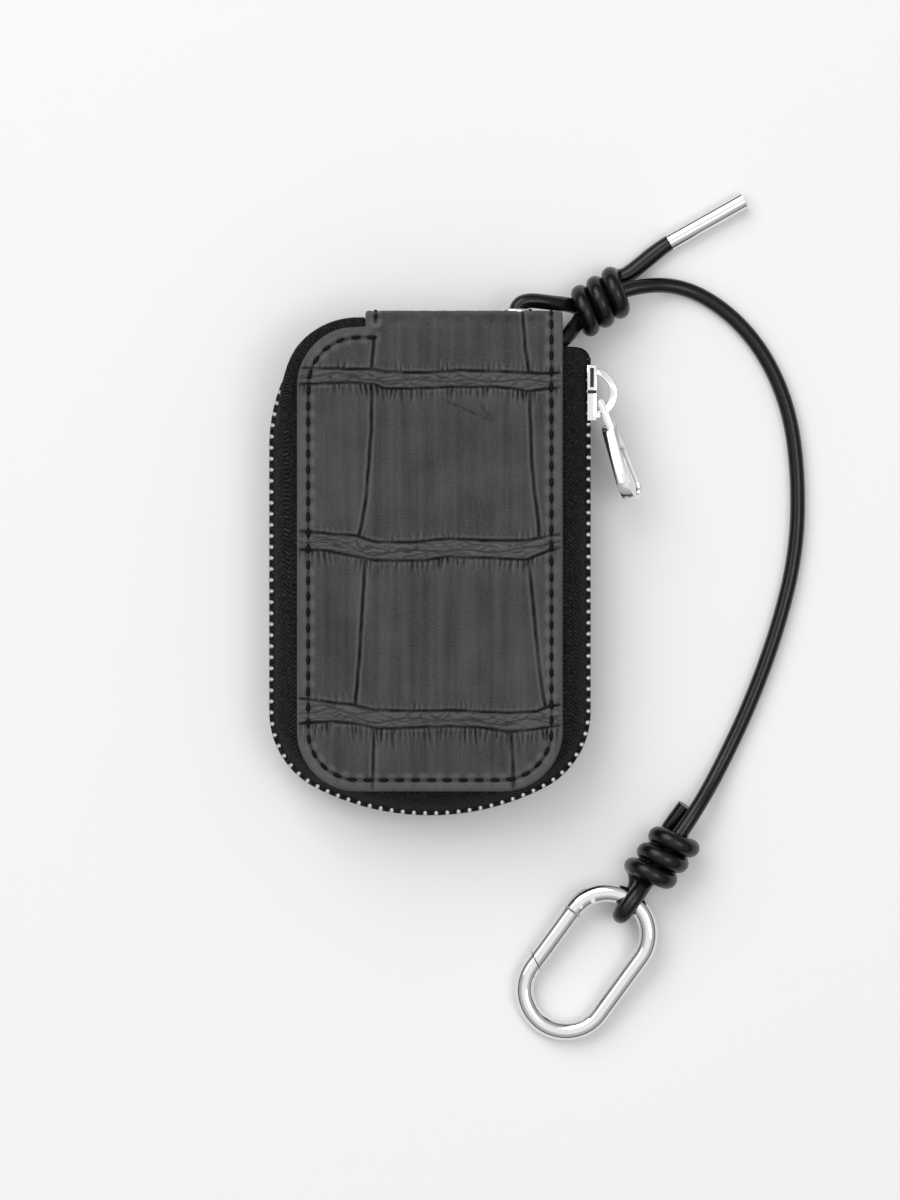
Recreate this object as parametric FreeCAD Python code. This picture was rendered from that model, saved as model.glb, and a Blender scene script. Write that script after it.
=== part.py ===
import FreeCAD, Part
import math
import os
from FreeCAD import Vector

# A zip-around key case lying on its back: X across, Y towards the spine, Z out of the front panel.
# The origin is the middle of the back face. All sizes are in millimetres and degrees.

# Leather shell
panel_width = 52.8
panel_bottom = -45.3
panel_corner_radius = 12.0
shoulder_top = 47.1
shoulder_radius = 12.0
spine_top = 50.3
spine_left = -12.8
spine_edge_radius = 4.0
case_depth = 20.0
leather_thickness = 1.4
fold_gap = 0.5
shoulder_gap = 0.2

# Layers inside the leather
board_thickness = 0.6
lining_thickness = 0.5
lining_inset = 1.0
board_clearance = 0.3
fold_margin = 1.5

# Zip tape and chain
tape_thickness = 0.6
brim_width = 4.5
zip_top = 41.6
zip_end_gap = 0.4
side_overhang = 4.6
bottom_overhang = 3.9
chain_corner_radius = 16.0
chain_bottom_radius = 49.0
chain_shoulder_step = 2.0
chain_shoulder_top = 47.0
shoulder_upper_turn = 60.0
tooth_pitch = 2.2
tooth_length = 1.1
tooth_half_width = 1.15
tooth_head = 1.0
tooth_leg = 1.35
chain_gap = 0.5
tooth_slot_clearance = 0.05
lip_rise = 0.2
stop_length = 1.6
stop_half_width = 1.6
stop_margin = 0.1
stop_tooth_gap = 0.6

# Slider and puller
slider_low = 28.4
slider_high = 39.6
slider_plate = 0.85
slider_corner_radius = 1.2
slider_clearance = 0.2
slider_half_depth = 2.1
slider_lip_drop = 3.5
slider_lip_thickness = 0.7
slider_lip_reach = 0.4
web_thickness = 0.3
web_length = 6.0
bridge_reach = 4.2
bridge_margin = 0.5
bridge_wall = 1.5
bridge_depth = 1.8
puller_length = 20.7
puller_direction = -71.4
puller_seat_out = 1.0
puller_seat_up = 3.2
crossbar_radius = 0.65
cheek_thickness = 0.9
cheek_clearance = 0.25
cheek_width = 1.3
neck_start = 4.4
drop_narrow_radius = 2.0
drop_wide_radius = 3.75
drop_thickness = 2.3
drop_twist = 20.0
drop_recess = 0.5
drop_rim = 1.0

# Eyelet
eyelet_x = 17.2
eyelet_bore = 4.0
eyelet_wall = 0.4
eyelet_rim = 6.6
eyelet_rim_height = 0.5
eyelet_rim_round = 0.3
eyelet_clearance = 0.05

# Key plate and hooks
plate_length = 37.0
plate_depth = 5.0
plate_front = 36.8
plate_thickness = 0.8
lug_front = 32.5
lug_height = 4.8
bar_diameter = 2.0
bar_y = 34.2
bar_height = 2.7
bar_clearance = 0.02
rivet_diameter = 2.0
rivet_head = 3.4
rivet_head_height = 0.6
rivet_inset = 6.5
hook_count = 4
hook_gap = 1.0
hook_eye_width = 4.0
hook_eye_bore = 2.4
hook_eye_outer = 4.4
hook_wire = 1.3
hook_sheet = 1.2
hook_loop_length = 14.0
hook_length = 21.5
hook_shank = 2.4
hook_slit = 0.6

# Cord, knots and ferrule
cord_diameter = 3.0
wrap_turns = 3
wrap_pitch = 3.65
wrap_radius = 3.75
knot_height = 5.3
upper_knot_start = (29.47, 49.36)
upper_knot_angle = 31.0
lower_knot_middle = (47.2, -58.1)
hang_angle = 54.0
cut_end_length = 4.6
ferrule_start = (48.0, 64.5)
ferrule_angle = 29.3
ferrule_length = 17.2
ferrule_diameter = 3.6
ferrule_bore = 3.1
ferrule_depth = 4.0
ferrule_height = 1.8

# Routes of the cord, chosen point by point
inner_route = [
    (24.4, 52.9, 9.0), (17.2, 53.1, 10.0), (17.2, 46.0, 10.0), (19.4, 43.0, 10.0), (23.1, 43.5, 9.8),
]
main_route = [
    (23.1, 43.5, 9.8), (26.8, 44.0, 9.6), (29.6, 48.7, 5.9), (33.0, 51.48, 5.3), (39.5, 55.39, 5.3),
    (50.0, 56.2, 1.6), (59.6, 51.0, 1.5), (67.3, 42.2, 1.5), (72.3, 30.5, 1.5), (74.0, 16.5, 1.5),
    (73.5, 2.0, 1.5), (70.0, -12.5, 1.5), (64.6, -27.5, 1.5), (58.0, -41.5, 1.6),
]
upper_wrap_first = 75
tail_turn = 55
tail_lead = 4.4
lower_wrap_first = 15
lower_wrap_short = 45
loop_lead = 3.0
stub_lead = 3.4
core_lead = 9.0

# Carabiner
carabiner_length = 34.6
carabiner_width = 20.4
carabiner_wire = 3.8
carabiner_reach = 11.6
carabiner_height = 5.2
loop_clearance = 0.3
gate_outer_cut = -4.8
gate_inner_cut = -6.8
gate_nose_gap = 0.25
gate_joint_gap = 0.45
gate_pivot = (1.5, 0.7)
gate_tongue = 1.3
gate_tongue_radius = 1.1
gate_slot = 1.6
gate_slot_length = 4.8
gate_pin_diameter = 1.0
gate_pin_clearance = 0.03
gate_pin_length = 3.5
spring_pin = (3.9, 2.0)
spring_pin_length = 3.2
spring_diameter = 1.7
spring_length = 1.3
spring_leg = 0.4

# Worked-out sizes
half_width = panel_width / 2
middle = case_depth / 2
fold_y = spine_top - spine_edge_radius
fold_z = case_depth - leather_thickness / 2
front_end = fold_y - leather_thickness / 2 - fold_gap
cover_inside = case_depth - leather_thickness
layer_inside = cover_inside - board_thickness
lining_inside = layer_inside - lining_thickness
lining_top = case_depth - lining_inside
hook_pitch = (plate_length - 2 * plate_thickness - hook_gap) / hook_count
hook_width = hook_pitch - hook_gap
chain_half = half_width + side_overhang
chain_bottom = panel_bottom - bottom_overhang
zip_end = spine_left - zip_end_gap
cord_radius = cord_diameter / 2
up = Vector(0, 0, 1)


def save(name, shape):
    shape.exportStep("parts/" + name + ".step")
    solids = shape.Solids
    print(name, "solids", len(solids), "volume", round(shape.Volume, 2), "valid", shape.isValid())


def box(x0, x1, y0, y1, z0, z1):
    return Part.makeBox(x1 - x0, y1 - y0, z1 - z0, Vector(x0, y0, z0))


def straight(p, q):
    return Part.LineSegment(p, q).toShape()


def mirrored(shape):
    return shape.mirror(Vector(0, 0, middle), up)


def trace(start, heading, steps, offset):
    # Each step is (length, radius, right turn); a positive offset lies outside the path.
    angle = math.radians(heading)
    x = start[0] - offset * math.sin(angle)
    y = start[1] + offset * math.cos(angle)
    spans = []
    for length, radius, turn in steps:
        if turn == 0:
            x1 = x + length * math.cos(angle)
            y1 = y + length * math.sin(angle)
            spans.append(((x, y), ((x + x1) / 2, (y + y1) / 2), (x1, y1), 0))
        else:
            wide = radius + offset
            cx = x + wide * math.sin(angle)
            cy = y - wide * math.cos(angle)
            half = angle - math.radians(turn) / 2
            angle = angle - math.radians(turn)
            x1 = cx - wide * math.sin(angle)
            y1 = cy + wide * math.cos(angle)
            spans.append(((x, y), (cx - wide * math.sin(half), cy + wide * math.cos(half)), (x1, y1), turn))
        x = x1
        y = y1
    return spans


def span_edges(spans, z):
    edges = []
    for first, mid, last, turn in spans:
        ends = [Vector(p[0], p[1], z) for p in (first, mid, last)]
        if turn == 0:
            edges.append(straight(ends[0], ends[2]))
        else:
            edges.append(Part.Arc(ends[0], ends[1], ends[2]).toShape())
    return edges


def turned_back(spans):
    return [(last, mid, first, turn) for first, mid, last, turn in reversed(spans)]


def line(p, q, z):
    return straight(Vector(p[0], p[1], z), Vector(q[0], q[1], z))


def strip_wire(path, outer, inner, z):
    # Closed outline of a strip between two offsets of one path.
    out = trace(path[0], path[1], path[2], outer)
    back = turned_back(trace(path[0], path[1], path[2], inner))
    edges = span_edges(out, z)
    edges.append(line(out[-1][2], back[0][0], z))
    edges.extend(span_edges(back, z))
    edges.append(line(back[-1][2], out[0][0], z))
    return Part.Wire(edges)


def plate(wire, height):
    return Part.Face(wire).extrude(Vector(0, 0, height))


def panel_path():
    straight_left = shoulder_top - shoulder_radius - panel_bottom - panel_corner_radius
    steps = [
        (zip_top - panel_bottom - panel_corner_radius, 0, 0),
        (0, panel_corner_radius, 90),
        (panel_width - 2 * panel_corner_radius, 0, 0),
        (0, panel_corner_radius, 90),
        (straight_left, 0, 0),
        (0, shoulder_radius, 90 - shoulder_upper_turn),
        (0, shoulder_radius, shoulder_upper_turn),
        (zip_end + half_width - shoulder_radius, 0, 0),
    ]
    return ((half_width, zip_top), -90, steps)


def chain_path():
    bulge = math.asin((chain_half - chain_corner_radius) / (chain_bottom_radius - chain_corner_radius))
    corner_turn = 90 - math.degrees(bulge)
    corner_y = chain_bottom + chain_bottom_radius
    corner_y = corner_y - (chain_bottom_radius - chain_corner_radius) * math.cos(bulge)
    # The shoulder is a tight upper arc and a slack lower one that end in line with the panel's shoulder.
    lower = math.radians(90 - shoulder_upper_turn)
    tight = shoulder_radius + chain_shoulder_step
    across = side_overhang + shoulder_radius
    slack = (across - tight * math.cos(lower)) / (1 - math.cos(lower))
    drop = tight * (1 - math.sin(lower)) + slack * math.sin(lower)
    steps = [
        (zip_top - corner_y, 0, 0),
        (0, chain_corner_radius, corner_turn),
        (0, chain_bottom_radius, 180 - 2 * corner_turn),
        (0, chain_corner_radius, corner_turn),
        (chain_shoulder_top - drop - corner_y, 0, 0),
        (0, slack, 90 - shoulder_upper_turn),
        (0, tight, shoulder_upper_turn),
        (zip_end + half_width - shoulder_radius, 0, 0),
    ]
    return ((chain_half, zip_top), -90, steps)


panel = panel_path()
chain = chain_path()


def panel_outline(inset, top_points, z):
    # The panel's edge, closed over the top through the given points.
    spans = trace(panel[0], panel[1], panel[2], -inset)
    edges = span_edges(spans, z)
    corners = [spans[-1][2]] + top_points + [spans[0][0]]
    for k in range(len(corners) - 1):
        edges.append(line(corners[k], corners[k + 1], z))
    return Part.Wire(edges)


def cover(top, z):
    points = [(spine_left - shoulder_gap, shoulder_top)]
    points.append((spine_left - shoulder_gap, top))
    points.append((half_width, top))
    return plate(panel_outline(0, points, z), leather_thickness)


def lining(z):
    left = zip_end
    top = front_end - fold_margin
    points = [(left, top), (half_width - lining_inset, top)]
    return plate(panel_outline(lining_inset, points, z), lining_thickness)


def board(z):
    return plate(panel_outline(brim_width + board_clearance, [], z), board_thickness)


def spine_profile(x):
    # One leather strip: a round front end, two edge bends and a square back end.
    outer = spine_edge_radius
    inner = spine_edge_radius - leather_thickness
    half_turn = math.sqrt(0.5)
    high = case_depth - spine_edge_radius
    low = spine_edge_radius

    def spot(y, z):
        return Vector(x, y, z)

    def bend(radius, first, last, sign):
        centre_z = high if sign > 0 else low
        mid = spot(fold_y + radius * half_turn, centre_z + sign * radius * half_turn)
        return Part.Arc(first, mid, last).toShape()

    front_out = spot(fold_y, case_depth)
    front_in = spot(fold_y, cover_inside)
    back_out = spot(fold_y, 0)
    back_in = spot(fold_y, leather_thickness)
    top_out = [spot(fold_y + outer, high), spot(fold_y + outer, low)]
    top_in = [spot(fold_y + inner, low), spot(fold_y + inner, high)]
    edges = [
        bend(outer, front_out, top_out[0], 1),
        straight(top_out[0], top_out[1]),
        bend(outer, top_out[1], back_out, -1),
        straight(back_out, back_in),
        bend(inner, back_in, top_in[0], -1),
        straight(top_in[0], top_in[1]),
        bend(inner, top_in[1], front_in, 1),
        Part.Arc(front_in, spot(fold_y - leather_thickness / 2, fold_z), front_out).toShape(),
    ]
    return Part.Face(Part.Wire(edges))


def along_y(radius, x, z, y0, y1):
    return Part.makeCylinder(radius, y1 - y0, Vector(x, y0, z), Vector(0, 1, 0))


def make_shell():
    save("front_cover", cover(front_end, cover_inside))
    save("back_cover", cover(fold_y, 0))
    hole = along_y(eyelet_bore / 2 + eyelet_wall + eyelet_clearance, eyelet_x, middle, fold_y, spine_top + 1)
    strip = spine_profile(spine_left).extrude(Vector(half_width - spine_left, 0, 0))
    save("spine_cover", strip.cut(hole))
    inner = spine_top - leather_thickness
    strip_lining = box(spine_left + lining_thickness, half_width - lining_thickness, inner - lining_thickness,
                       inner, spine_edge_radius, case_depth - spine_edge_radius)
    save("spine_lining", strip_lining.cut(hole))
    save("front_board", board(layer_inside))
    save("front_lining", lining(lining_inside))
    holes = rivets(leather_thickness, lining_top + 1, rivet_diameter / 2 + eyelet_clearance)
    save("back_board", mirrored(board(layer_inside)).cut(holes))
    save("back_lining", mirrored(lining(lining_inside)).cut(holes))


def make_eyelet():
    inner = spine_top - leather_thickness - lining_thickness
    radius = eyelet_bore / 2 + eyelet_wall
    barrel = along_y(radius, eyelet_x, middle, inner - lining_thickness, spine_top)
    rim = along_y(eyelet_rim / 2, eyelet_x, middle, spine_top, spine_top + eyelet_rim_height)
    outer_edge = [e for e in rim.Edges if abs(e.CenterOfMass.y - spine_top - eyelet_rim_height) < 0.01]
    rim = rim.makeFillet(eyelet_rim_round, outer_edge)
    bore = along_y(eyelet_bore / 2, eyelet_x, middle, fold_y, spine_top + 2 * eyelet_rim_height)
    save("eyelet", barrel.fuse(rim).cut(bore).removeSplitter())
    washer = along_y(eyelet_rim / 2, eyelet_x, middle, inner - lining_thickness, inner)
    opening = along_y(radius + eyelet_clearance, eyelet_x, middle, fold_y, spine_top)
    save("eyelet_washer", washer.cut(opening))


def make_tapes():
    half = tape_thickness / 2
    lip_low = middle + chain_gap / 2 + tooth_head + tooth_slot_clearance
    lip_high = middle + chain_gap / 2 + tooth_head + tooth_leg + lip_rise
    levels = [
        strip_wire(panel, 0, -tape_thickness, cover_inside),
        strip_wire(chain, half, -half, lip_high),
        strip_wire(chain, half, -half, lip_low),
    ]
    band = Part.makeLoft(levels, True, True)
    brim = plate(strip_wire(panel, 0, -brim_width, layer_inside), board_thickness)
    tape = band.fuse(brim)
    save("front_zip_tape", tape)
    save("back_zip_tape", mirrored(tape))


def stations(spans):
    # Length of each stretch, with its start point and heading.
    table = []
    heading = math.radians(chain[1])
    for step, span in zip(chain[2], spans):
        length, radius, turn = step
        if turn:
            length = radius * math.radians(turn)
        table.append((length, radius, turn, span[0], heading))
        heading = heading - math.radians(turn)
    return table


def place_on_chain(shape, distance, table):
    for length, radius, turn, start, heading in table:
        if distance <= length:
            break
        distance = distance - length
    if turn:
        angle = heading - distance / radius
        x = start[0] + radius * (math.sin(heading) - math.sin(angle))
        y = start[1] - radius * (math.cos(heading) - math.cos(angle))
    else:
        angle = heading
        x = start[0] + distance * math.cos(angle)
        y = start[1] + distance * math.sin(angle)
    spot = FreeCAD.Placement(Vector(x, y, middle), FreeCAD.Rotation(up, math.degrees(angle)))
    placed = shape.copy()
    placed.Placement = spot
    return placed


def clamp(length, half_wide, side):
    # A fork that straddles the tape's edge: a head and two legs, on the front or the back row.
    low = chain_gap / 2
    high = low + tooth_head + tooth_leg
    slot = tape_thickness / 2 + tooth_slot_clearance
    body = box(-length / 2, length / 2, -half_wide, half_wide, low, high)
    body = body.cut(box(-length, length, -slot, slot, low + tooth_head, high + 1))
    if side < 0:
        body = body.mirror(Vector(0, 0, 0), up)
    return body


def make_teeth():
    table = stations(trace(chain[0], chain[1], chain[2], 0))
    whole = sum(row[0] for row in table)
    first = stop_margin + stop_length + stop_tooth_gap + tooth_length / 2
    count = int((whole - 2 * first - tooth_pitch / 2) / tooth_pitch)
    stop_place = stop_margin + stop_length / 2
    for side, name in ((1, "front"), (-1, "back")):
        shift = 0 if side > 0 else tooth_pitch / 2
        tooth = clamp(tooth_length, tooth_half_width, side)
        row = [place_on_chain(tooth, first + shift + k * tooth_pitch, table) for k in range(count)]
        save(name + "_zip_teeth", Part.makeCompound(row))
        top_half_width = tooth_half_width if side > 0 else stop_half_width
        top_stop = place_on_chain(clamp(stop_length, top_half_width, side), stop_place, table)
        end_stop = place_on_chain(clamp(stop_length, tooth_half_width, side), whole - stop_place, table)
        save(name + "_zip_stops", Part.makeCompound([top_stop, end_stop]))


def bridge_face(x, low, high, reach, z):
    y = (low + high) / 2
    arc = Part.Arc(Vector(x, low, z), Vector(x + reach, y, z), Vector(x, high, z)).toShape()
    return Part.Face(Part.Wire([arc, line((x, high), (x, low), z)]))


def make_slider():
    outer = chain_half + tooth_half_width + slider_clearance
    inner = chain_half - tooth_half_width - slider_clearance
    low = slider_low
    high = slider_high
    z0 = middle - slider_half_depth
    z1 = middle + slider_half_depth
    face = outer + slider_plate
    lip_z = middle - slider_lip_drop
    body = box(outer, face, low, high, lip_z, z1)
    corners = [e for e in body.Edges if abs(e.tangentAt(e.FirstParameter).x) > 0.9]
    body = body.makeFillet(slider_corner_radius, corners)
    lip_inside = chain_half + tape_thickness / 2 + slider_lip_reach
    lip_ends = (low + slider_corner_radius, high - slider_corner_radius)
    body = body.fuse(box(lip_inside, outer, lip_ends[0], lip_ends[1], lip_z, lip_z + slider_lip_thickness))
    body = body.fuse(box(inner - slider_plate, inner, low, high, z0, z1))
    web = box(inner, outer, high - web_length, high, middle - web_thickness / 2, middle + web_thickness / 2)
    body = body.fuse(web)
    z = middle - bridge_depth / 2
    arch = bridge_face(face, low + bridge_margin, high - bridge_margin, bridge_reach, z)
    window = bridge_face(face, low + bridge_margin + bridge_wall, high - bridge_margin - bridge_wall,
                         bridge_reach - bridge_wall, z)
    arch = arch.cut(window).extrude(Vector(0, 0, bridge_depth))
    save("zip_slider", body.fuse(arch).removeSplitter())


def drop_outline(start, narrow, wide, end):
    # Two circles on one line and their outer tangents.
    x0 = start + narrow
    x1 = end - wide
    lean = math.acos((narrow - wide) / (x1 - x0))
    c = math.cos(lean)
    s = math.sin(lean)
    a0 = Vector(x0 + narrow * c, narrow * s, 0)
    b0 = Vector(x0 + narrow * c, -narrow * s, 0)
    a1 = Vector(x1 + wide * c, wide * s, 0)
    b1 = Vector(x1 + wide * c, -wide * s, 0)
    edges = [
        Part.Arc(a0, Vector(start, 0, 0), b0).toShape(),
        straight(b0, b1),
        Part.Arc(b1, Vector(end, 0, 0), a1).toShape(),
        straight(a1, a0),
    ]
    return Part.Face(Part.Wire(edges))


def puller_pivot():
    face = chain_half + tooth_half_width + slider_clearance + slider_plate
    return Vector(face + puller_seat_out, slider_low + bridge_margin + puller_seat_up, middle)


def make_puller():
    half_open = bridge_depth / 2 + cheek_clearance
    half_all = half_open + cheek_thickness
    half = cheek_width / 2
    shape = Part.makeCylinder(crossbar_radius, 2 * half_all, Vector(0, 0, -half_all))
    for z in (-half_all, half_open):
        shape = shape.fuse(box(0, neck_start + cheek_width, -half, half, z, z + cheek_thickness))
    shape = shape.fuse(box(neck_start, neck_start + cheek_width, -half, half, -half_all, half_all))
    drop = drop_outline(neck_start, drop_narrow_radius, drop_wide_radius, puller_length)
    drop = drop.extrude(Vector(0, 0, drop_thickness))
    recess_floor = drop_thickness - drop_recess
    recess = drop_outline(neck_start + 2 * drop_narrow_radius + drop_rim, drop_narrow_radius - drop_rim / 2,
                          drop_wide_radius - drop_rim, puller_length - drop_rim)
    recess = recess.extrude(Vector(0, 0, drop_thickness))
    recess.translate(Vector(0, 0, recess_floor))
    drop = drop.cut(recess)
    drop.translate(Vector(0, 0, -drop_thickness / 2))
    drop.rotate(Vector(0, 0, 0), Vector(1, 0, 0), drop_twist - 90)
    shape = shape.fuse(drop).removeSplitter()
    shape.rotate(Vector(0, 0, 0), up, puller_direction)
    shape.translate(puller_pivot())
    save("zip_puller", shape)


def rivets(z0, z1, radius):
    y = plate_front + plate_depth / 2
    x = plate_length / 2 - rivet_inset
    pair = [Part.makeCylinder(radius, z1 - z0, Vector(side * x, y, z0)) for side in (-1, 1)]
    return Part.makeCompound(pair)


def make_key_plate():
    top = lining_top + plate_thickness
    end = plate_length / 2
    base = box(-end, end, plate_front, plate_front + plate_depth, lining_top, top)
    holder = base
    for x in (-end, end - plate_thickness):
        lug_back = plate_front + plate_depth
        lug = box(x, x + plate_thickness, lug_front, lug_back, lining_top, lining_top + lug_height)
        holder = holder.fuse(lug)
    bar_z = lining_top + bar_height
    bar_hole = Part.makeCylinder(bar_diameter / 2 + bar_clearance, plate_length, Vector(-end, bar_y, bar_z),
                                 Vector(1, 0, 0))
    holder = holder.cut(bar_hole)
    holder = holder.cut(rivets(lining_top - 1, top + 1, rivet_diameter / 2 + bar_clearance))
    save("key_plate", holder.removeSplitter())
    bar = Part.makeCylinder(bar_diameter / 2, plate_length, Vector(-end, bar_y, bar_z), Vector(1, 0, 0))
    save("key_bar", bar)
    shanks = rivets(leather_thickness, top, rivet_diameter / 2).Solids
    heads = rivets(top, top + rivet_head_height, rivet_head / 2).Solids
    save("key_plate_rivets", Part.makeCompound([a.fuse(b).removeSplitter() for a, b in zip(shanks, heads)]))


def rounded_slot(x, width, y0, y1, z0, z1):
    r = width / 2
    lower = Part.makeCylinder(r, z1 - z0, Vector(x, y0 + r, z0))
    upper = Part.makeCylinder(r, z1 - z0, Vector(x, y1 - r, z0))
    return lower.fuse(upper).fuse(box(x - r, x + r, y0 + r, y1 - r, z0, z1))


def hook_barrel(x, diameter):
    start = Vector(x - hook_eye_width / 2, bar_y, lining_top + bar_height)
    return Part.makeCylinder(diameter / 2, hook_eye_width, start, Vector(1, 0, 0))


def make_hooks():
    low = lining_top + bar_height - hook_sheet / 2
    high = low + hook_sheet
    tip = bar_y - hook_length
    loop_end = tip + hook_loop_length
    for k in range(hook_count):
        x = (k - (hook_count - 1) / 2) * hook_pitch
        ring = rounded_slot(x, hook_width, tip, loop_end, low, high)
        hole = rounded_slot(x, hook_width - 2 * hook_wire, tip + hook_wire, loop_end - hook_wire, low, high)
        slit_y = loop_end - hook_width / 2
        slit = box(x, x + hook_width, slit_y - hook_slit / 2, slit_y + hook_slit / 2, low, high)
        shank = box(x - hook_shank / 2, x + hook_shank / 2, loop_end - hook_wire / 2, bar_y, low, high)
        hook = ring.cut(hole).cut(slit).fuse(shank).fuse(hook_barrel(x, hook_eye_outer))
        save("key_hook_" + str(k + 1), hook.cut(hook_barrel(x, hook_eye_bore)).removeSplitter())


def unit(v):
    return v * (1 / v.Length)


def arc_middle(p, t, q):
    # Middle of the arc that leaves p along t and ends at q, or nothing where that is a straight line.
    chord = q - p
    along = unit(chord)
    side = t - along * t.dot(along)
    if side.Length < 1e-6:
        return None
    angle = t.getAngle(chord)
    return (p + q) * 0.5 + unit(side) * (chord.Length / 2 * math.tan(angle / 2))


def arc_edge(p, t, q):
    mid = arc_middle(p, t, q)
    if mid is None:
        return straight(p, q)
    return Part.Arc(p, mid, q).toShape()


def arc_arriving(p, q, t):
    # Arc from p that arrives at q along t.
    mid = arc_middle(q, t * -1, p)
    if mid is None:
        return straight(p, q)
    return Part.Arc(p, mid, q).toShape()


def biarc(p0, t0, p1, t1):
    v = p1 - p0
    t = t0 + t1
    spread = 2 * (1 - t0.dot(t1))
    vt = v.dot(t)
    d = (math.sqrt(vt * vt + spread * v.dot(v)) - vt) / spread
    joint = (p0 + t0 * d + p1 - t1 * d) * 0.5
    return [arc_edge(p0, t0, joint), arc_arriving(joint, p1, t1)]


def tube(name, edges):
    path = Part.Wire(edges)
    start = edges[0]
    tangent = start.tangentAt(start.FirstParameter)
    ring = Part.Wire(Part.makeCircle(cord_radius, start.valueAt(start.FirstParameter), tangent))
    solid = path.makePipeShell([ring], True, False)
    share = solid.Volume / (math.pi * cord_radius ** 2 * path.Length)
    print(name, "length", round(path.Length, 2), "volume against section times length", round(share, 4))
    return solid


def rounded_route(name, points):
    # Straight runs joined by tangent arcs as large as the shorter run allows.
    spots = [Vector(*p) for p in points]
    edges = []
    radii = []
    last = spots[0]
    for k in range(1, len(spots) - 1):
        back = unit(spots[k - 1] - spots[k])
        ahead = unit(spots[k + 1] - spots[k])
        reach = 0.45 * min((spots[k - 1] - spots[k]).Length, (spots[k + 1] - spots[k]).Length)
        turn = math.pi - back.getAngle(ahead)
        radii.append(round(reach / math.tan(turn / 2), 1))
        p = spots[k] + back * reach
        q = spots[k] + ahead * reach
        edges.append(straight(last, p))
        edges.append(arc_edge(p, back * -1, q))
        last = q
    edges.append(straight(last, spots[-1]))
    print(name, "radii", radii)
    return edges


class Wrap:
    # A winding round an axis: sense 1 turns from the side towards the top, -1 the other way.
    def __init__(self, origin, axis, sense):
        self.origin = origin
        self.axis = axis
        self.side = Vector(-axis.y, axis.x, 0)
        self.sense = sense

    def spot(self, turned, along):
        a = math.radians(turned)
        return self.origin + self.axis * along + (self.side * math.cos(a) + up * math.sin(a)) * wrap_radius

    def helix(self, turned):
        return self.spot(self.sense * turned, wrap_pitch * turned / 360)

    def heading(self, turned):
        a = math.radians(self.sense * turned)
        round_way = (up * math.cos(a) - self.side * math.sin(a)) * (self.sense * wrap_radius)
        return unit(round_way + self.axis * (wrap_pitch / (2 * math.pi)))

    def turns(self, first, last):
        quarters = int(round((last - first) / 90))
        step = (last - first) / quarters
        found = []
        for k in range(quarters):
            a = first + k * step
            b = a + step
            found.extend(biarc(self.helix(a), self.heading(a), self.helix(b), self.heading(b)))
        return found


def least_self_gap(edges):
    # Smallest surface gap between stretches of the winding that lie over a third of a turn apart.
    points = []
    travelled = 0.0
    for edge in edges:
        for p in edge.discretize(Number=7)[:-1]:
            points.append((travelled, p))
            travelled += edge.Length / 6
    far = 2 * math.pi * wrap_radius / 3
    least = min((p - q).Length for s, p in points for u, q in points if u - s > far)
    return least - cord_diameter


def winding(name, wrap, first, last, start, entry, leave, leave_way, end):
    # Straight lead, bend into the turns, the turns, bend out of them, straight end.
    lead_way = unit(entry - start)
    edges = [straight(start, entry)]
    edges.extend(biarc(entry, lead_way, wrap.helix(first), wrap.heading(first)))
    edges.extend(wrap.turns(first, last))
    edges.extend(biarc(wrap.helix(last), wrap.heading(last), leave, leave_way))
    edges.append(straight(leave, end))
    radii = [edge.Curve.Radius for edge in edges if hasattr(edge.Curve, "Radius")]
    print(name, "least gap", round(least_self_gap(edges), 3), "least radius", round(min(radii), 2))
    save(name, tube(name, edges))


def flat_way(angle):
    return Vector(math.cos(math.radians(angle)), math.sin(math.radians(angle)), 0)


def make_upper_cord():
    # The leg out of the eyelet makes the wraps and ends in the tail with its ferrule.
    bight = rounded_route("cord_inner_bight", inner_route)
    save("cord_inner_bight", tube("cord_inner_bight", bight[1:]))
    start = bight[0].valueAt(bight[0].LastParameter)
    entry = Vector(*inner_route[0])
    axis = flat_way(upper_knot_angle)
    wrap = Wrap(Vector(upper_knot_start[0], upper_knot_start[1], knot_height), axis, -1)
    leave = wrap.spot(-tail_turn, wrap_pitch * wrap_turns + tail_lead)
    tail_start = leave + axis * cord_diameter
    winding("upper_knot", wrap, upper_wrap_first, 360 * wrap_turns, start, entry, leave, axis, tail_start)
    way = flat_way(ferrule_angle)
    mouth = Vector(ferrule_start[0], ferrule_start[1], ferrule_height)
    tail = biarc(tail_start, axis, mouth, way)
    print("cord_tail radii", [round(edge.Curve.Radius, 1) for edge in tail])
    tail.append(straight(mouth, mouth + way * ferrule_depth))
    save("cord_tail", tube("cord_tail", tail))
    sleeve = Part.makeCylinder(ferrule_diameter / 2, ferrule_length, mouth, way)
    bore = Part.makeCylinder(ferrule_bore / 2, ferrule_depth, mouth, way)
    save("cord_ferrule", sleeve.cut(bore))


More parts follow.
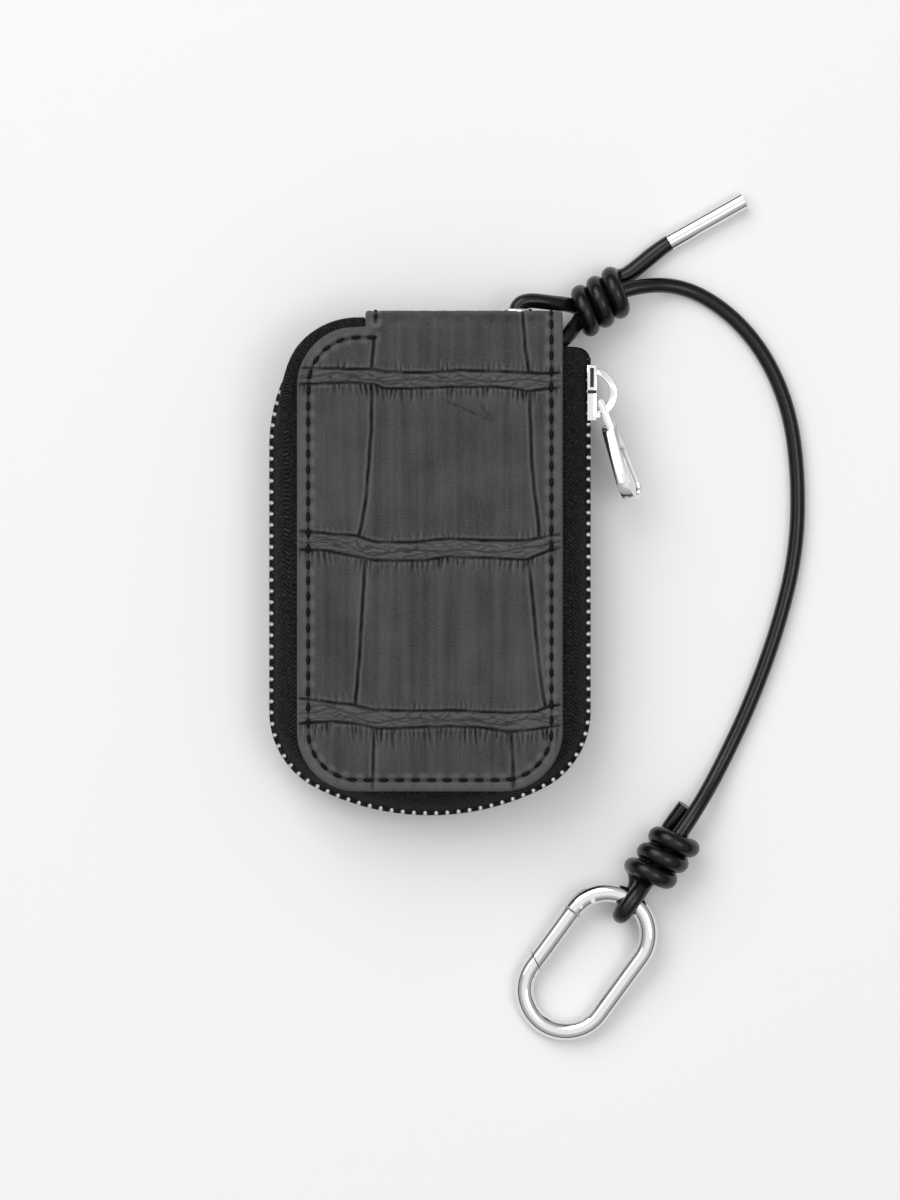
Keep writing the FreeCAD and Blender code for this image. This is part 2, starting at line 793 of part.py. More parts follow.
def make_lower_cord():
    # The long stretch runs through the wraps, loops round the carabiner and comes back to make them.
    ahead = flat_way(hang_angle)
    down = ahead * -1
    centre = Vector(lower_knot_middle[0], lower_knot_middle[1], knot_height)
    half_wraps = wrap_pitch * wrap_turns / 2
    loop_radius = carabiner_wire / 2 + loop_clearance + cord_radius
    rise = loop_radius + knot_height - carabiner_height
    lead = math.sqrt((2 * loop_radius) ** 2 - rise ** 2)

    def in_loop(s, z):
        flat = centre + down * s
        return Vector(flat.x, flat.y, z)

    hub = carabiner_height
    begin = in_loop(carabiner_reach - lead, knot_height)
    touch = in_loop(carabiner_reach - lead / 2, (knot_height + loop_radius + hub) / 2)
    top = in_loop(carabiner_reach, hub + loop_radius)
    far = in_loop(carabiner_reach + loop_radius, hub)
    under = in_loop(carabiner_reach, hub - loop_radius)
    entry = in_loop(half_wraps + loop_lead, hub - loop_radius)
    back = entry + down * cord_diameter
    loop = [
        arc_edge(begin, down, touch),
        arc_arriving(touch, top, down),
        arc_edge(top, down, far),
        arc_edge(far, up * -1, under),
        straight(under, back),
    ]
    save("cord_end_loop", tube("cord_end_loop", loop))
    wrap = Wrap(centre + down * half_wraps, ahead, 1)
    leave = wrap.spot(0, 2 * half_wraps + stub_lead)
    last = 360 * wrap_turns - lower_wrap_short
    cut_end = leave + ahead * cut_end_length
    winding("lower_knot", wrap, lower_wrap_first, last, back, entry, leave, ahead, cut_end)
    core_start = centre + ahead * core_lead
    route = main_route + [tuple(core_start), tuple(begin)]
    save("cord_main", tube("cord_main", rounded_route("cord_main", route)))


def carabiner_frame():
    # The oval hangs by its apex in the loop and its far end lies on the ground.
    wire = carabiner_wire / 2
    span = carabiner_length - carabiner_wire
    tilt = math.asin((carabiner_height - wire) / span)
    ahead = flat_way(hang_angle)
    u = Vector(ahead.x * math.cos(tilt), ahead.y * math.cos(tilt), math.sin(tilt))
    v = Vector(-ahead.y, ahead.x, 0)
    w = u.cross(v)
    apex = Vector(lower_knot_middle[0], lower_knot_middle[1], 0) - ahead * carabiner_reach
    apex.z = carabiner_height
    middle_point = apex - u * (span / 2)
    matrix = FreeCAD.Matrix(u.x, v.x, w.x, middle_point.x, u.y, v.y, w.y, middle_point.y,
                            u.z, v.z, w.z, middle_point.z, 0, 0, 0, 1)
    return FreeCAD.Placement(matrix)


def link(p, q, radius, half_depth):
    # A flat bar with round ends between two points.
    a = Vector(p[0], p[1], -half_depth)
    b = Vector(q[0], q[1], -half_depth)
    way = unit(b - a)
    side = Vector(-way.y, way.x, 0) * radius
    corners = [a + side, a - side, b - side, b + side, a + side]
    bar = Part.Face(Part.makePolygon(corners)).extrude(up * (2 * half_depth))
    for end in (a, b):
        bar = bar.fuse(Part.makeCylinder(radius, 2 * half_depth, end))
    return bar.removeSplitter()


def pin(p, radius, length):
    return Part.makeCylinder(radius, length, Vector(p[0], p[1], -length / 2))


def nose_wedge(shift):
    # Everything on the gate's side of the slanted cut at its free end.
    half = carabiner_wire / 2
    bend = (carabiner_width - carabiner_wire) / 2
    outer = (gate_outer_cut + shift, bend + half)
    inner = (gate_inner_cut + shift, bend - half)
    lean = (outer[0] - inner[0]) / carabiner_wire
    margin = half
    far = Vector(carabiner_length, 0, 0)
    a = Vector(inner[0] - lean * margin, inner[1] - margin, -half - margin)
    b = Vector(outer[0] + lean * margin, outer[1] + margin, -half - margin)
    face = Part.Face(Part.makePolygon([a, b, b + far, a + far, a]))
    return face.extrude(up * (2 * half + 2 * margin))


def make_carabiner():
    frame = carabiner_frame()
    wire = carabiner_wire / 2
    bend = (carabiner_width - carabiner_wire) / 2
    half_straight = (carabiner_length - carabiner_width) / 2
    start = Vector(gate_outer_cut, bend, 0)
    nodes = [Vector(x * half_straight, y * bend, 0) for x, y in ((-1, 1), (-1, -1), (1, -1), (1, 1))]
    low_end = Vector(-half_straight - bend, 0, 0)
    high_end = Vector(half_straight + bend, 0, 0)
    lengthwise = Vector(1, 0, 0)
    across = Vector(0, 1, 0)
    path = [
        straight(start, nodes[0]),
        arc_edge(nodes[0], lengthwise * -1, low_end),
        arc_edge(low_end, across * -1, nodes[1]),
        straight(nodes[1], nodes[2]),
        arc_edge(nodes[2], lengthwise, high_end),
        arc_edge(high_end, across, nodes[3]),
    ]
    ring = Part.Wire(Part.makeCircle(wire, start, lengthwise * -1))
    body = Part.Wire(path).makePipeShell([ring], True, False)
    gate_room = box(-half_straight, half_straight, bend - 2 * wire, bend + 2 * wire, -wire, wire)
    body = body.cut(nose_wedge(0).common(gate_room))
    pivot = (half_straight + gate_pivot[0], bend - gate_pivot[1])
    rest = (half_straight + spring_pin[0], bend - spring_pin[1])
    slot_end = half_straight + gate_slot_length
    slot = box(half_straight - wire, slot_end, bend - 2 * wire, bend + wire, -gate_slot / 2, gate_slot / 2)
    hole_radius = gate_pin_diameter / 2 + gate_pin_clearance
    body = body.cut(slot)
    for spot in (pivot, rest):
        body = body.cut(pin(spot, hole_radius, carabiner_wire))
    gate_length = 2 * half_straight - gate_joint_gap
    gate = Part.makeCylinder(wire, gate_length, Vector(-half_straight, bend, 0), lengthwise)
    gate = gate.common(nose_wedge(gate_nose_gap))
    tongue_root = half_straight - gate_joint_gap - gate_tongue_radius
    tongue = link((tongue_root, bend), pivot, gate_tongue_radius, gate_tongue / 2)
    gate = gate.fuse(tongue).cut(pin(pivot, hole_radius, carabiner_wire)).removeSplitter()
    pin_radius = gate_pin_diameter / 2
    pins = [pin(pivot, pin_radius, gate_pin_length), pin(rest, pin_radius, spring_pin_length)]
    spring = pin(rest, spring_diameter / 2, spring_length)
    leg_start = (rest[0], rest[1] + spring_diameter / 2)
    leg_end = (pivot[0] + gate_tongue_radius, bend + wire / 2)
    spring = spring.fuse(link(leg_start, leg_end, spring_leg / 2, spring_leg))
    spring = spring.cut(pin(rest, hole_radius, carabiner_wire)).removeSplitter()
    pieces = {
        "carabiner_body": body,
        "carabiner_gate": gate,
        "gate_pins": Part.makeCompound(pins),
        "gate_spring": spring,
    }
    for name, shape in pieces.items():
        shape.Placement = frame.multiply(shape.Placement)
        save(name, shape)
    print("gate pivot", frame.multVec(Vector(pivot[0], pivot[1], 0)), "normal", frame.Rotation.multVec(up))
    print("apex", frame.multVec(high_end), "across", frame.Rotation.multVec(across))


os.makedirs("parts", exist_ok=True)
make_shell()
make_eyelet()
make_tapes()
make_teeth()
make_slider()
make_puller()
make_key_plate()
make_hooks()
make_upper_cord()
make_lower_cord()
make_carabiner()
print("fold axis", fold_y, fold_z, "puller pivot", puller_pivot(), "bar", bar_y, lining_top + bar_height)
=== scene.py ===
import math
import random

import bmesh
import bpy
import numpy as np
from mathutils import Matrix, Vector, noise


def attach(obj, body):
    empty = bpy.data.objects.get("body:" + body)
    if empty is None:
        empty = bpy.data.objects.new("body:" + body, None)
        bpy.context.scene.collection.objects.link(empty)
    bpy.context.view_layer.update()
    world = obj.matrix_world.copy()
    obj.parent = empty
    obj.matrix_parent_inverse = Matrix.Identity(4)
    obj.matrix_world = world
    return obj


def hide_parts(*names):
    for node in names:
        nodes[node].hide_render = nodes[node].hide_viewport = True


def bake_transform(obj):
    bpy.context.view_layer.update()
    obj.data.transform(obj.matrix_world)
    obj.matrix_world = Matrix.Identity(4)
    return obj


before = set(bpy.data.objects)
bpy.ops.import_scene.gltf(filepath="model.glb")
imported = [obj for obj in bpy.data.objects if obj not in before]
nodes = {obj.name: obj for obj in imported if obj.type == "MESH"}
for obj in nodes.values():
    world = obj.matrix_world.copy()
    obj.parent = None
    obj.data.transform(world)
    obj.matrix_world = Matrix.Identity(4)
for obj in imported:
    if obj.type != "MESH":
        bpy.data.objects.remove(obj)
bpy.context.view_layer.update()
mm = 0.001
print("frame loaded,", len(nodes), "nodes")


class Wire:  # a socket of a finish, so that sums of sockets are written as sums
    def __init__(self, tree, socket=None):
        self.tree = tree
        self.socket = socket

    def node(self, kind, settings=None, sockets=None, out=0):
        made = self.tree.nodes.new("ShaderNode" + kind)
        for name, value in (settings or {}).items():
            if name == "stops":
                while len(made.color_ramp.elements) < len(value):
                    made.color_ramp.elements.new(1)
                for stop, (place, level) in zip(made.color_ramp.elements, value):
                    stop.position = place
                    stop.color = (level, level, level, 1)
            else:
                setattr(made, name, value)
        for name, value in (sockets or {}).items():
            if isinstance(value, Wire):
                self.tree.links.new(value.socket, made.inputs[name])
            else:
                made.inputs[name].default_value = value
        return Wire(self.tree, made.outputs[out])

    def maths(self, operation, *values):
        return self.node("Math", {"operation": operation}, dict(enumerate(values)))

    def __add__(self, other):
        return self.maths("ADD", self, other)

    __radd__ = __add__

    def __mul__(self, other):
        return self.maths("MULTIPLY", self, other)

    __rmul__ = __mul__

    def __sub__(self, other):
        return self.maths("SUBTRACT", self, other)

    def __rsub__(self, other):
        return self.maths("SUBTRACT", other, self)

    def __mod__(self, other):
        return self.maths("FLOORED_MODULO", self, other)

    def __pow__(self, other):
        return self.maths("POWER", self, other)

    def mixed(self, first, second):  # this value as the factor between two colours
        return self.node("Mix", {"data_type": "RGBA"}, {0: self, 6: first, 7: second}, 2)

    def place(self):
        return self.node("TexCoord", out="Object")

    def attribute(self, name):
        return self.node("Attribute", {"attribute_name": name}, None, "Fac")

    def noise(self, place, scale, detail=3.0, stretch=None):
        if stretch:
            place = self.node("Mapping", None, {"Vector": place, "Scale": stretch})
        return self.node("TexNoise", None, {"Vector": place, "Scale": scale, "Detail": detail})


def grey(level, warm=0.0):
    return (level * (1 + warm), level, level * (1 - warm), 1)


def newFinish(name, constants):
    material = bpy.data.materials.new(name)
    material.use_nodes = True
    shader = material.node_tree.nodes["Principled BSDF"]
    for socket, value in constants.items():
        shader.inputs[socket].default_value = value
    return material, Wire(material.node_tree), shader


def feed(shader, socket, wire):
    wire.tree.links.new(wire.socket, shader.inputs[socket])


def feedAll(shader, colour, roughness, height, depth):  # height runs from 0 to 1, depth is in metres
    feed(shader, "Base Color", colour)
    feed(shader, "Roughness", roughness)
    feed(shader, "Normal", height.node("Bump", None, {"Strength": 1.0, "Distance": depth, "Height": height}))


def useFinish(piece, material):
    piece.data.materials.clear()
    piece.data.materials.append(material)


def newPiece(name, data):
    piece = bpy.data.objects.new(name, data)
    bpy.context.scene.collection.objects.link(piece)
    return piece


def clearSelection():
    bpy.ops.object.select_all(action="DESELECT")


def pick(piece):
    clearSelection()
    piece.select_set(True)
    bpy.context.view_layer.objects.active = piece


def applyModifiers(piece):
    pick(piece)
    for modifier in list(piece.modifiers):
        bpy.ops.object.modifier_apply(modifier=modifier.name)


def editParts(piece, kind, wanted):  # enters edit mode with the points or faces that wanted picks
    pick(piece)
    bpy.ops.object.mode_set(mode="EDIT")
    bpy.ops.mesh.select_mode(type=kind)
    bpy.ops.mesh.select_all(action="DESELECT")
    bpy.ops.object.mode_set(mode="OBJECT")
    for part in piece.data.vertices if kind == "VERT" else piece.data.polygons:
        part.select = wanted(part)
    bpy.ops.object.mode_set(mode="EDIT")


def editAll(piece):
    editParts(piece, "VERT", lambda point: True)


def leaveEdit():
    bpy.ops.object.mode_set(mode="OBJECT")


def resize(share, height=0):  # about the origin, or a point above it
    bpy.ops.transform.resize(value=share, center_override=(0, 0, height))


def extrude(height):
    bpy.ops.mesh.extrude_region_move(TRANSFORM_OT_translate={"value": (0, 0, height)})


def smoothBelow(piece, degrees):
    pick(piece)
    bpy.ops.object.shade_smooth_by_angle(angle=math.radians(degrees))


# Camera, light and floor
view = {"centre": (4.0, -7.3, 8.0), "frameHeight": 240.0, "lens": 250.0, "sensor": 36.0, "clip": (0.05, 50.0)}
studio = {
    "lamps": {"keyLamp": ((-0.64, 1.00, 1.24), 1.20, 13.2),  # place, size and power
              "fillLamp": ((0.80, -0.10, 1.84), 0.84, 6.0),
              "sideLamp": ((-1.40, 0.36, 1.50), 0.64, 2.4)},
    "floorSize": 6.0, "floor": {"Base Color": grey(0.83, 0.004), "Roughness": 0.9, "Specular IOR Level": 0.2},
    "sky": 1.02,
    "skyByHeight": [(0.0, 0.7), (0.02, 0.05), (0.18, 0.07), (0.32, 0.4), (0.72, 0.56), (0.9, 1.0)],
}


def makeCamera():
    distance = view["frameHeight"] * view["lens"] / view["sensor"]
    x, y, z = view["centre"]
    bpy.ops.object.camera_add(location=(x * mm, y * mm, (z + distance) * mm), rotation=(0, 0, 0))
    camera = bpy.context.object
    camera.data.lens = view["lens"]
    camera.data.sensor_width = view["sensor"]
    camera.data.clip_start, camera.data.clip_end = view["clip"]
    bpy.context.scene.camera = camera


def makeLamps():
    for name, (place, size, power) in studio["lamps"].items():
        bpy.ops.object.light_add(type="AREA", location=place)
        lamp = bpy.context.object
        lamp.name = name
        lamp.data.energy = power
        lamp.data.size = size
        lamp.rotation_euler = (-Vector(place)).to_track_quat("-Z", "Y").to_euler()


def makeFloor():
    bpy.ops.mesh.primitive_plane_add(size=studio["floorSize"], location=(0, 0, 0))
    floor = bpy.context.object
    floor.name = "floor"
    useFinish(floor, newFinish("paleFloor", studio["floor"])[0])


def makeSky():
    world = bpy.data.worlds.new("softRoom")
    bpy.context.scene.world = world
    world.use_nodes = True
    sky = Wire(world.node_tree)
    height = sky.node("SeparateXYZ", None, {0: sky.node("TexCoord", out="Generated")}, "Z")
    background = world.node_tree.nodes["Background"]
    background.inputs["Strength"].default_value = studio["sky"]
    feed(background, "Color", sky.node("ValToRGB", {"stops": studio["skyByHeight"]}, {0: height}))


def makeStudio():
    clearSelection()
    makeCamera()
    makeLamps()
    makeFloor()
    makeSky()
    bpy.context.scene.view_settings.view_transform = "Standard"


makeStudio()
print("camera and light set")


# Cord: two stretches of one black round cord, joined by a bight inside the case
cord = {
    "diameter": 3.0, "pointsPerTurn": 16, "lineSteps": 8, "roundSteps": 5,
    "upper": {"start": (28.8, 49.27, 5.3), "angle": 31.0, "sense": -1, "turned": (180, 1105), "pitch": 3.54,
              "around": 3.5},
    "lower": {"start": (43.76, -62.83, 5.3), "angle": 54.0, "sense": 1, "turned": (22.5, 905), "pitch": 3.9,
              "around": 3.45},
    # soft cord bulges where it is pulled tight
    "fat": {"upper": 1.19, "lower": 1.23, "over": 1.15, "under": 1.06, "tail": 1.1},
    "bight": [(23.1, 43.5, 9.8), (19.4, 43.0, 10.0), (17.2, 46.0, 10.0), (17.0, 51.2, 10.0),
              (19.3, 52.7, 10.0)],
    "main": [(23.1, 43.5, 9.8), (26.8, 44.0, 9.6), (29.6, 48.7, 5.9), (33.0, 51.48, 5.3), (39.5, 55.39, 5.3),
             (50.0, 56.2, 1.6), (59.6, 51.0, 1.5), (67.3, 42.2, 1.5), (72.3, 30.5, 1.5), (74.0, 16.5, 1.5),
             (73.5, 2.0, 1.5), (70.0, -12.5, 1.5), (64.6, -27.5, 1.5), (58.0, -41.5, 1.6),
             (52.49, -50.82, 5.3)],
    "ferruleEnd": [(48.0, 64.5, 1.8), (51.49, 66.46, 1.8)],
    # along a knot from its start, to its left, and height
    "entry": [(-2.7, 5.0, 8.9), (0.5, 2.7, 6.4), (1.9, 1.2, 3.2), (1.8, -1.0, 1.3), (1.6, -3.0, 2.3)],
    "tail": [(11.5, 2.7, 1.75), (13.1, 1.8, 1.65), (16.6, 2.2, 1.7), (20.8, 2.85, 1.75)],
    "over": [(3.85, 0, 5.3), (-0.55, 0, 5.3), (-3.75, 0, 8.9), (-9.45, 0, 8.9)],
    "under": [(-9.45, 0, 1.6), (-3.35, 0.4, 1.6), (-0.75, 2.3, 1.8), (-0.05, 4.3, 3.7)],
    "cutEnd": [(9.6, -2.5, 2.3), (8.9, 0.2, 1.4), (9.2, 2.3, 1.5), (12.0, 2.5, 2.1), (15.9, 2.45, 2.8)],
}


def turnedWay(angle):
    return Vector((math.cos(math.radians(angle)), math.sin(math.radians(angle)), 0))


def wraps(knot):  # the turns of a knot
    ahead, left = turnedWay(knot["angle"]), turnedWay(knot["angle"] + 90)
    step = 360 / cord["pointsPerTurn"]
    reach = knot["around"] / (0.75 + 0.25 * math.cos(math.radians(step)))  # the line runs inside its points
    points = []
    turned, last = knot["turned"]
    while turned <= last:
        a = math.radians(knot["sense"] * turned)
        spot = left * math.cos(a) + Vector((0, 0, 1)) * math.sin(a)
        points.append(Vector(knot["start"]) + ahead * (knot["pitch"] * turned / 360) + spot * reach)
        turned += step
    return points


def onKnot(knot, spots):
    ahead, left = turnedWay(knot["angle"]), turnedWay(knot["angle"] + 90)
    x, y, z = knot["start"]
    return [Vector((x, y, height)) + ahead * along + left * across for along, across, height in spots]


def cordCurve(name, stretches, material):
    points = [(point, fat) for stretch, fat in stretches for point in stretch]
    curve = bpy.data.curves.new(name, "CURVE")
    curve.dimensions = "3D"
    line = curve.splines.new("NURBS")
    line.points.add(len(points) - 1)
    for spot, (point, fat) in zip(line.points, points):
        spot.co = (point[0] * mm, point[1] * mm, point[2] * mm, 1)
        spot.radius = fat
    line.order_u = 3
    line.use_endpoint_u = True
    line.resolution_u = cord["lineSteps"]
    curve.bevel_depth = cord["diameter"] / 2 * mm
    curve.bevel_resolution = cord["roundSteps"]
    curve.use_fill_caps = True
    piece = newPiece(name, curve)
    useFinish(piece, material)
    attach(piece, "case_back")
    return piece


def cordFinish():
    material, wire, shader = newFinish("blackCord", {"Specular IOR Level": 0.34})
    place = wire.place()
    mottle = wire.noise(place, 260.0)
    pores = wire.noise(place, 3200.0, 2.0)
    feedAll(shader, mottle.mixed(grey(0.002), grey(0.005)), 0.16 + 0.12 * mottle,
            0.6 * pores + 0.4 * mottle, 0.00005)
    return material


def makeCords():
    material = cordFinish()
    upper, lower, fat = cord["upper"], cord["lower"], cord["fat"]
    longCord = cordCurve("cordLong", [
        (cord["main"], 1),
        (onKnot(lower, cord["over"]), fat["over"]),
        (onKnot(lower, cord["under"]), fat["under"]),
        (wraps(lower), fat["lower"]),
        (onKnot(lower, cord["cutEnd"]), 1),
    ], material)
    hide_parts("cord_main", "cord_end_loop", "lower_knot")
    shortCord = cordCurve("cordShort", [
        (cord["bight"] + onKnot(upper, cord["entry"]), 1),
        (wraps(upper), fat["upper"]),
        (onKnot(upper, cord["tail"]), fat["tail"]),
        (cord["ferruleEnd"], 1),
    ], material)
    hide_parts("cord_inner_bight", "upper_knot", "cord_tail")


makeCords()
print("cords laid")


# Metals: how pale, how rough, grains in a metre and how deep they are in metres
metals = {
    "polishedNickel": (0.80, 0.085, 900.0, 0.000002),
    "satinNickel": (0.70, 0.22, 2600.0, 0.000006),
    # the spring's steel, also used as painted shade on the faces inside the gate's joints
    "springSteelAndJointShade": (0.40, 0.28, 2600.0, 0.000004),
    # black for the zip's stops, and painted shade inside the slider cap's slot and band
    "blackNickelAndRecessShade": (0.035, 0.40, 2600.0, 0.000004),
    "castNickel": (0.58, 0.22, 1400.0, 0.000004),
}

# The carabiner's oval: its apex in the loop, its way and tilt, its straight sides, bend and the wire's inside
oval = {"apex": (40.3817, -67.4846, 5.2), "angle": 54.0, "tilt": 6.151, "toMiddle": 15.4, "halfStraight": 7.1,
        "bend": 8.3, "inside": 1.84}


def metalFinish(name):
    level, roughness, grain, depth = metals[name]
    material, wire, shader = newFinish(name, {"Metallic": 1.0})
    place = wire.place()
    cloud = wire.noise(place, 90.0)
    fine = wire.noise(place, grain, 2.0)
    feedAll(shader, cloud.mixed(grey(level * 0.95, 0.014), grey(level, 0.008)),
            roughness + roughness * 0.7 * (fine - 0.5) + 0.02 * cloud, fine, depth)
    return material


def paintJointShade(finish):  # faces inside the wire, at the gate's two joints, get the darker steel as painted shade in the joint gaps
    tilt = math.radians(oval["tilt"])
    ahead = turnedWay(oval["angle"]) * math.cos(tilt) + Vector((0, 0, math.sin(tilt)))
    across = turnedWay(oval["angle"] + 90)
    upward = ahead.cross(across)
    middle = Vector(oval["apex"]) - ahead * oval["toMiddle"]
    for name in ("carabiner_body", "carabiner_gate"):
        nodes[name].data.materials.append(finish)
        for face in nodes[name].data.polygons:
            spot = face.center / mm - middle
            along = max(abs(spot.dot(ahead)) - oval["halfStraight"], 0)
            aside = math.hypot(along, spot.dot(across)) - oval["bend"]
            if math.hypot(aside, spot.dot(upward)) < oval["inside"]:
                face.material_index = 1


def dressMetal():  # metal that stays as the frame has it
    chrome, satin, steelAndJointShade, blackAndRecessShade = (metalFinish(name) for name in
                                   ("polishedNickel", "satinNickel", "springSteelAndJointShade", "blackNickelAndRecessShade"))
    for name in ("eyelet", "eyelet_washer", "cord_ferrule", "carabiner_body", "carabiner_gate", "gate_pins"):
        useFinish(nodes[name], chrome)
    for name in ("key_bar", "key_plate_rivets"):
        useFinish(nodes[name], satin)
    useFinish(nodes["gate_spring"], steelAndJointShade)
    # painted shade on the faces inside the gate's joints
    paintJointShade(steelAndJointShade)
    return chrome, satin, blackAndRecessShade


chrome, satin, blackAndRecessShade = dressMetal()
print("metal finished")


# Leather: one sheet over front, spine and back, cut in two along the middle of the spine.
# On the flat sheet x runs across and v runs up the panel and on over the fold.
leather = {
    "halfWidth": 26.4, "bottom": -45.3, "corner": 12.0, "shoulderTop": 47.1, "spineLeft": -12.8,
    "foldY": 46.3, "bend": 4.0, "depth": 20.0, "thickness": 1.4, "seam": 58.583,
    "leftAnchor": -11.9, "rightAnchor": 8.0,  # columns between these stay upright
    "edgeRound": 0.6, "plainEdge": 0.8,
    "eyeletX": 17.2, "eyeletHole": 2.5, "holeMargin": 0.5,
    "foldStart": (0, 0.0475, 0.0193), "foldEnd": (0, 0.0449, 0.0193),
    # where each step of the grid begins
    "columns": [(-26.4, 0.10), (-26.1, 0.18), (-25.5, 0.24), (-15.6, 0.18), (-10.2, 0.25), (18.0, 0.18),
                (23.4, 0.24), (25.5, 0.18), (26.1, 0.10), (26.4, 0)],
    "rows": [(-45.3, 0.08), (-45.0, 0.2), (-44.2, 0.45), (-36.8, 0.35), (-33.9, 0.17), (-26.4, 0.35),
             (-23.5, 0.6), (-3.0, 0.35), (0.2, 0.17), (6.7, 0.35), (9.5, 0.6), (27.6, 0.2), (33.6, 0.17),
             (39.2, 0.35), (42.5, 0.5), (45.0, 0.3), (58.583, 0)],
}

scales = {  # grooves between the scales; a band is an upper and a lower line
    "bands": [
        ([(-27, 38.8), (-12.1, 38.5), (-8.6, 38.0), (-1.2, 37.8), (6.3, 38.3), (13.8, 38.0), (23.7, 37.7),
          (27, 37.8)],
         [(-27, 35.5), (-16.1, 35.9), (-11.1, 35.5), (-9.1, 34.7), (-3.7, 34.7), (2.8, 35.0), (12.8, 35.0),
          (16.2, 34.7), (19.7, 34.1), (22.7, 34.6), (27, 35.0)]),
        ([(-27, 6.4), (-14.6, 5.4), (-12.6, 4.7), (-10.2, 4.2), (-3.7, 4.1), (3.8, 4.8), (11.2, 4.5),
          (16.2, 4.4), (19.7, 4.6), (23.7, 5.4), (27, 5.7)],
         [(-27, 2.8), (-21.1, 2.5), (-13.6, 1.1), (-11.1, 0.5), (-1.2, 0.5), (4.3, 1.3), (8.8, 1.1),
          (19.2, 0.7), (23.7, 2.5), (27, 3.2)]),
        ([(-27, -26.7), (-21.1, -27.5), (-14.9, -28.2), (-11.1, -29.2), (-3.7, -29.4), (3.8, -29.2),
          (11.2, -29.6), (16.2, -29.8), (21.2, -29.4), (23.7, -28.4), (27, -28.1)],
         [(-27, -31.9), (-19.1, -31.4), (-14.6, -31.9), (-10.1, -32.9), (-3.7, -32.7), (3.8, -32.4),
          (11.2, -32.7), (15.7, -33.6), (21.2, -32.9), (27, -32.1)]),
    ],
    "uprights": [
        [(-11.6, 38.4), (-11.1, 44.4)],
        [(19.7, 38.0), (19.0, 42.3), (18.7, 46.3), (18.5, 49.7), (18.4, 60.0)],
        [(-11.6, 34.9), (-11.6, 26.9), (-12.1, 19.9), (-12.6, 13.4), (-13.4, 8.4), (-14.1, 5.3)],
        [(19.7, 34.2), (20.0, 28.8), (20.2, 20.9), (20.7, 14.9), (21.5, 8.9), (21.7, 5.0)],
        [(-12.9, 0.9), (-13.1, -4.3), (-13.6, -11.7), (-14.1, -20.2), (-14.6, -26.1), (-14.9, -28.2)],
        [(19.6, 0.8), (20.0, -2.8), (20.7, -10.2), (21.5, -17.7), (22.2, -24.2), (23.0, -28.5)],
        [(-11.1, -32.8), (-11.2, -39.1), (-11.4, -46.0)],
        [(16.0, -33.5), (16.5, -39.1), (16.6, -46.0)],
    ],
    "creases": [[(2.3, 32.6), (7.0, 30.6), (12.3, 28.3)], [(9.8, 32.3), (10.8, 30.3), (12.6, 28.6)]],
    "depth": 0.44, "width": 0.25, "shoulder": 0.15, "shoulderWidth": 1.1, "warp": (0.12, 0.13),
    "lip": 0.45, "lipAway": 0.6, "lipWidth": 0.28,  # painted highlight on the lip beside a groove
    # the dark values set the painted shade in a crease, and the band's pale value is a painted highlight
    # inside a band
    "creaseDepth": 0.16, "creaseWidth": 0.22, "creaseDark": 0.7,
    "bandEdge": 0.35, "bandSink": 0.04, "bandHighlight": 0.42, "streaks": (0.06, 0.03),
    "longPlace": 0.45, "longWidth": 0.17, "longDark": 0.7,  # the long crease in a band
    # long diamonds of fine creases inside a band
    "netAcross": 0.22, "netUp": 0.8, "netDepth": 0.15, "netWidth": 0.13, "netBend": 1.1, "netDark": 0.6,
    "netSets": ((1, 3.1), (-1, 5.9)),  # way of the slant, and layer of the noise
    # how a noise field is scaled across and up, and which layer of the noise it is
    "fields": {"warpX": (0.35, 0.35, 1.3), "warpV": (0.40, 0.5, 7.7), "uneven": (0.3, 0.3, 17.0),
               "broken": (0.7, 0.7, 29.0), "wander": (0.13, 0, 23.0), "broadStreak": (0.55, 0.035, 11.0),
               "fineStreak": (1.6, 0.06, 13.0), "netBend": (0.28, 0.5, 0), "netFade": (0.35, 0.9, 20)},
    # level, swing, least and most of what varies with a field
    "uneven": (0.9, 0.5, 0.55, 1.15), "broken": (0.85, 1.1, 0.2, 1), "netFade": (0.65, 0.9, 0, 1),
}

ticks = {  # short wrinkles beside the bands: above, below
    "depth": [(0.09, 0.22), (0.17, 0.42)], "length": [(1.4, 2.8), (2.2, 3.8)],
    "spacing": [(0.75, 1.6), (0.75, 1.3)], "first": 0.6, "lean": 0.16, "width": (0.15, 0.27),
    # pale is the painted highlight on a wrinkle's lip, and dark the painted shade in the wrinkle
    "pale": [4.0, 2.2], "dark": 2.6, "fade": 1.3, "start": 0.3, "startShare": 0.3,
    "lipAway": 2.2, "lipRise": 0.5, "patch": (0.85, 0.9, 0.35, 1.3), "patchScale": 0.2, "patchRow": 40.0,
    "stretch": [1.0, 1.0, 1.6],  # they run longer below the lowest band
    "seed": 11,
}

stitch = {"inset": 2.25, "pitch": 3.15, "length": 2.2, "width": 0.8, "height": 0.55, "dip": 0.16,
          "spineStitchX": -10.8, "rise": -0.06, "backRise": -0.28,
          # the dent that the thread pulls into the leather, with painted shade in it and a painted highlight
          # beside it; the border outside the stitches gets a painted highlight
          "channel": 0.2, "channelWidth": 0.6, "pull": 0.7, "pullSwing": 0.3, "dark": 0.75, "darkWidth": 0.22,
          "pale": 1.1, "paleAway": 0.85, "paleWidth": 0.45, "border": 0.35, "borderGap": 0.5}


def spaced(stops):
    places = []
    for (a, step), (b, nextStep) in zip(stops, stops[1:]):
        count = max(1, round((b - a) / step))
        places += [a + (b - a) * k / count for k in range(count)]
    return np.array(places + [stops[-1][0]])


def noiseOver(x, v, acrossScale, upScale, seed):
    return np.array([noise.noise(Vector((a * acrossScale, b * upScale, seed))) for a, b in zip(x, v)])


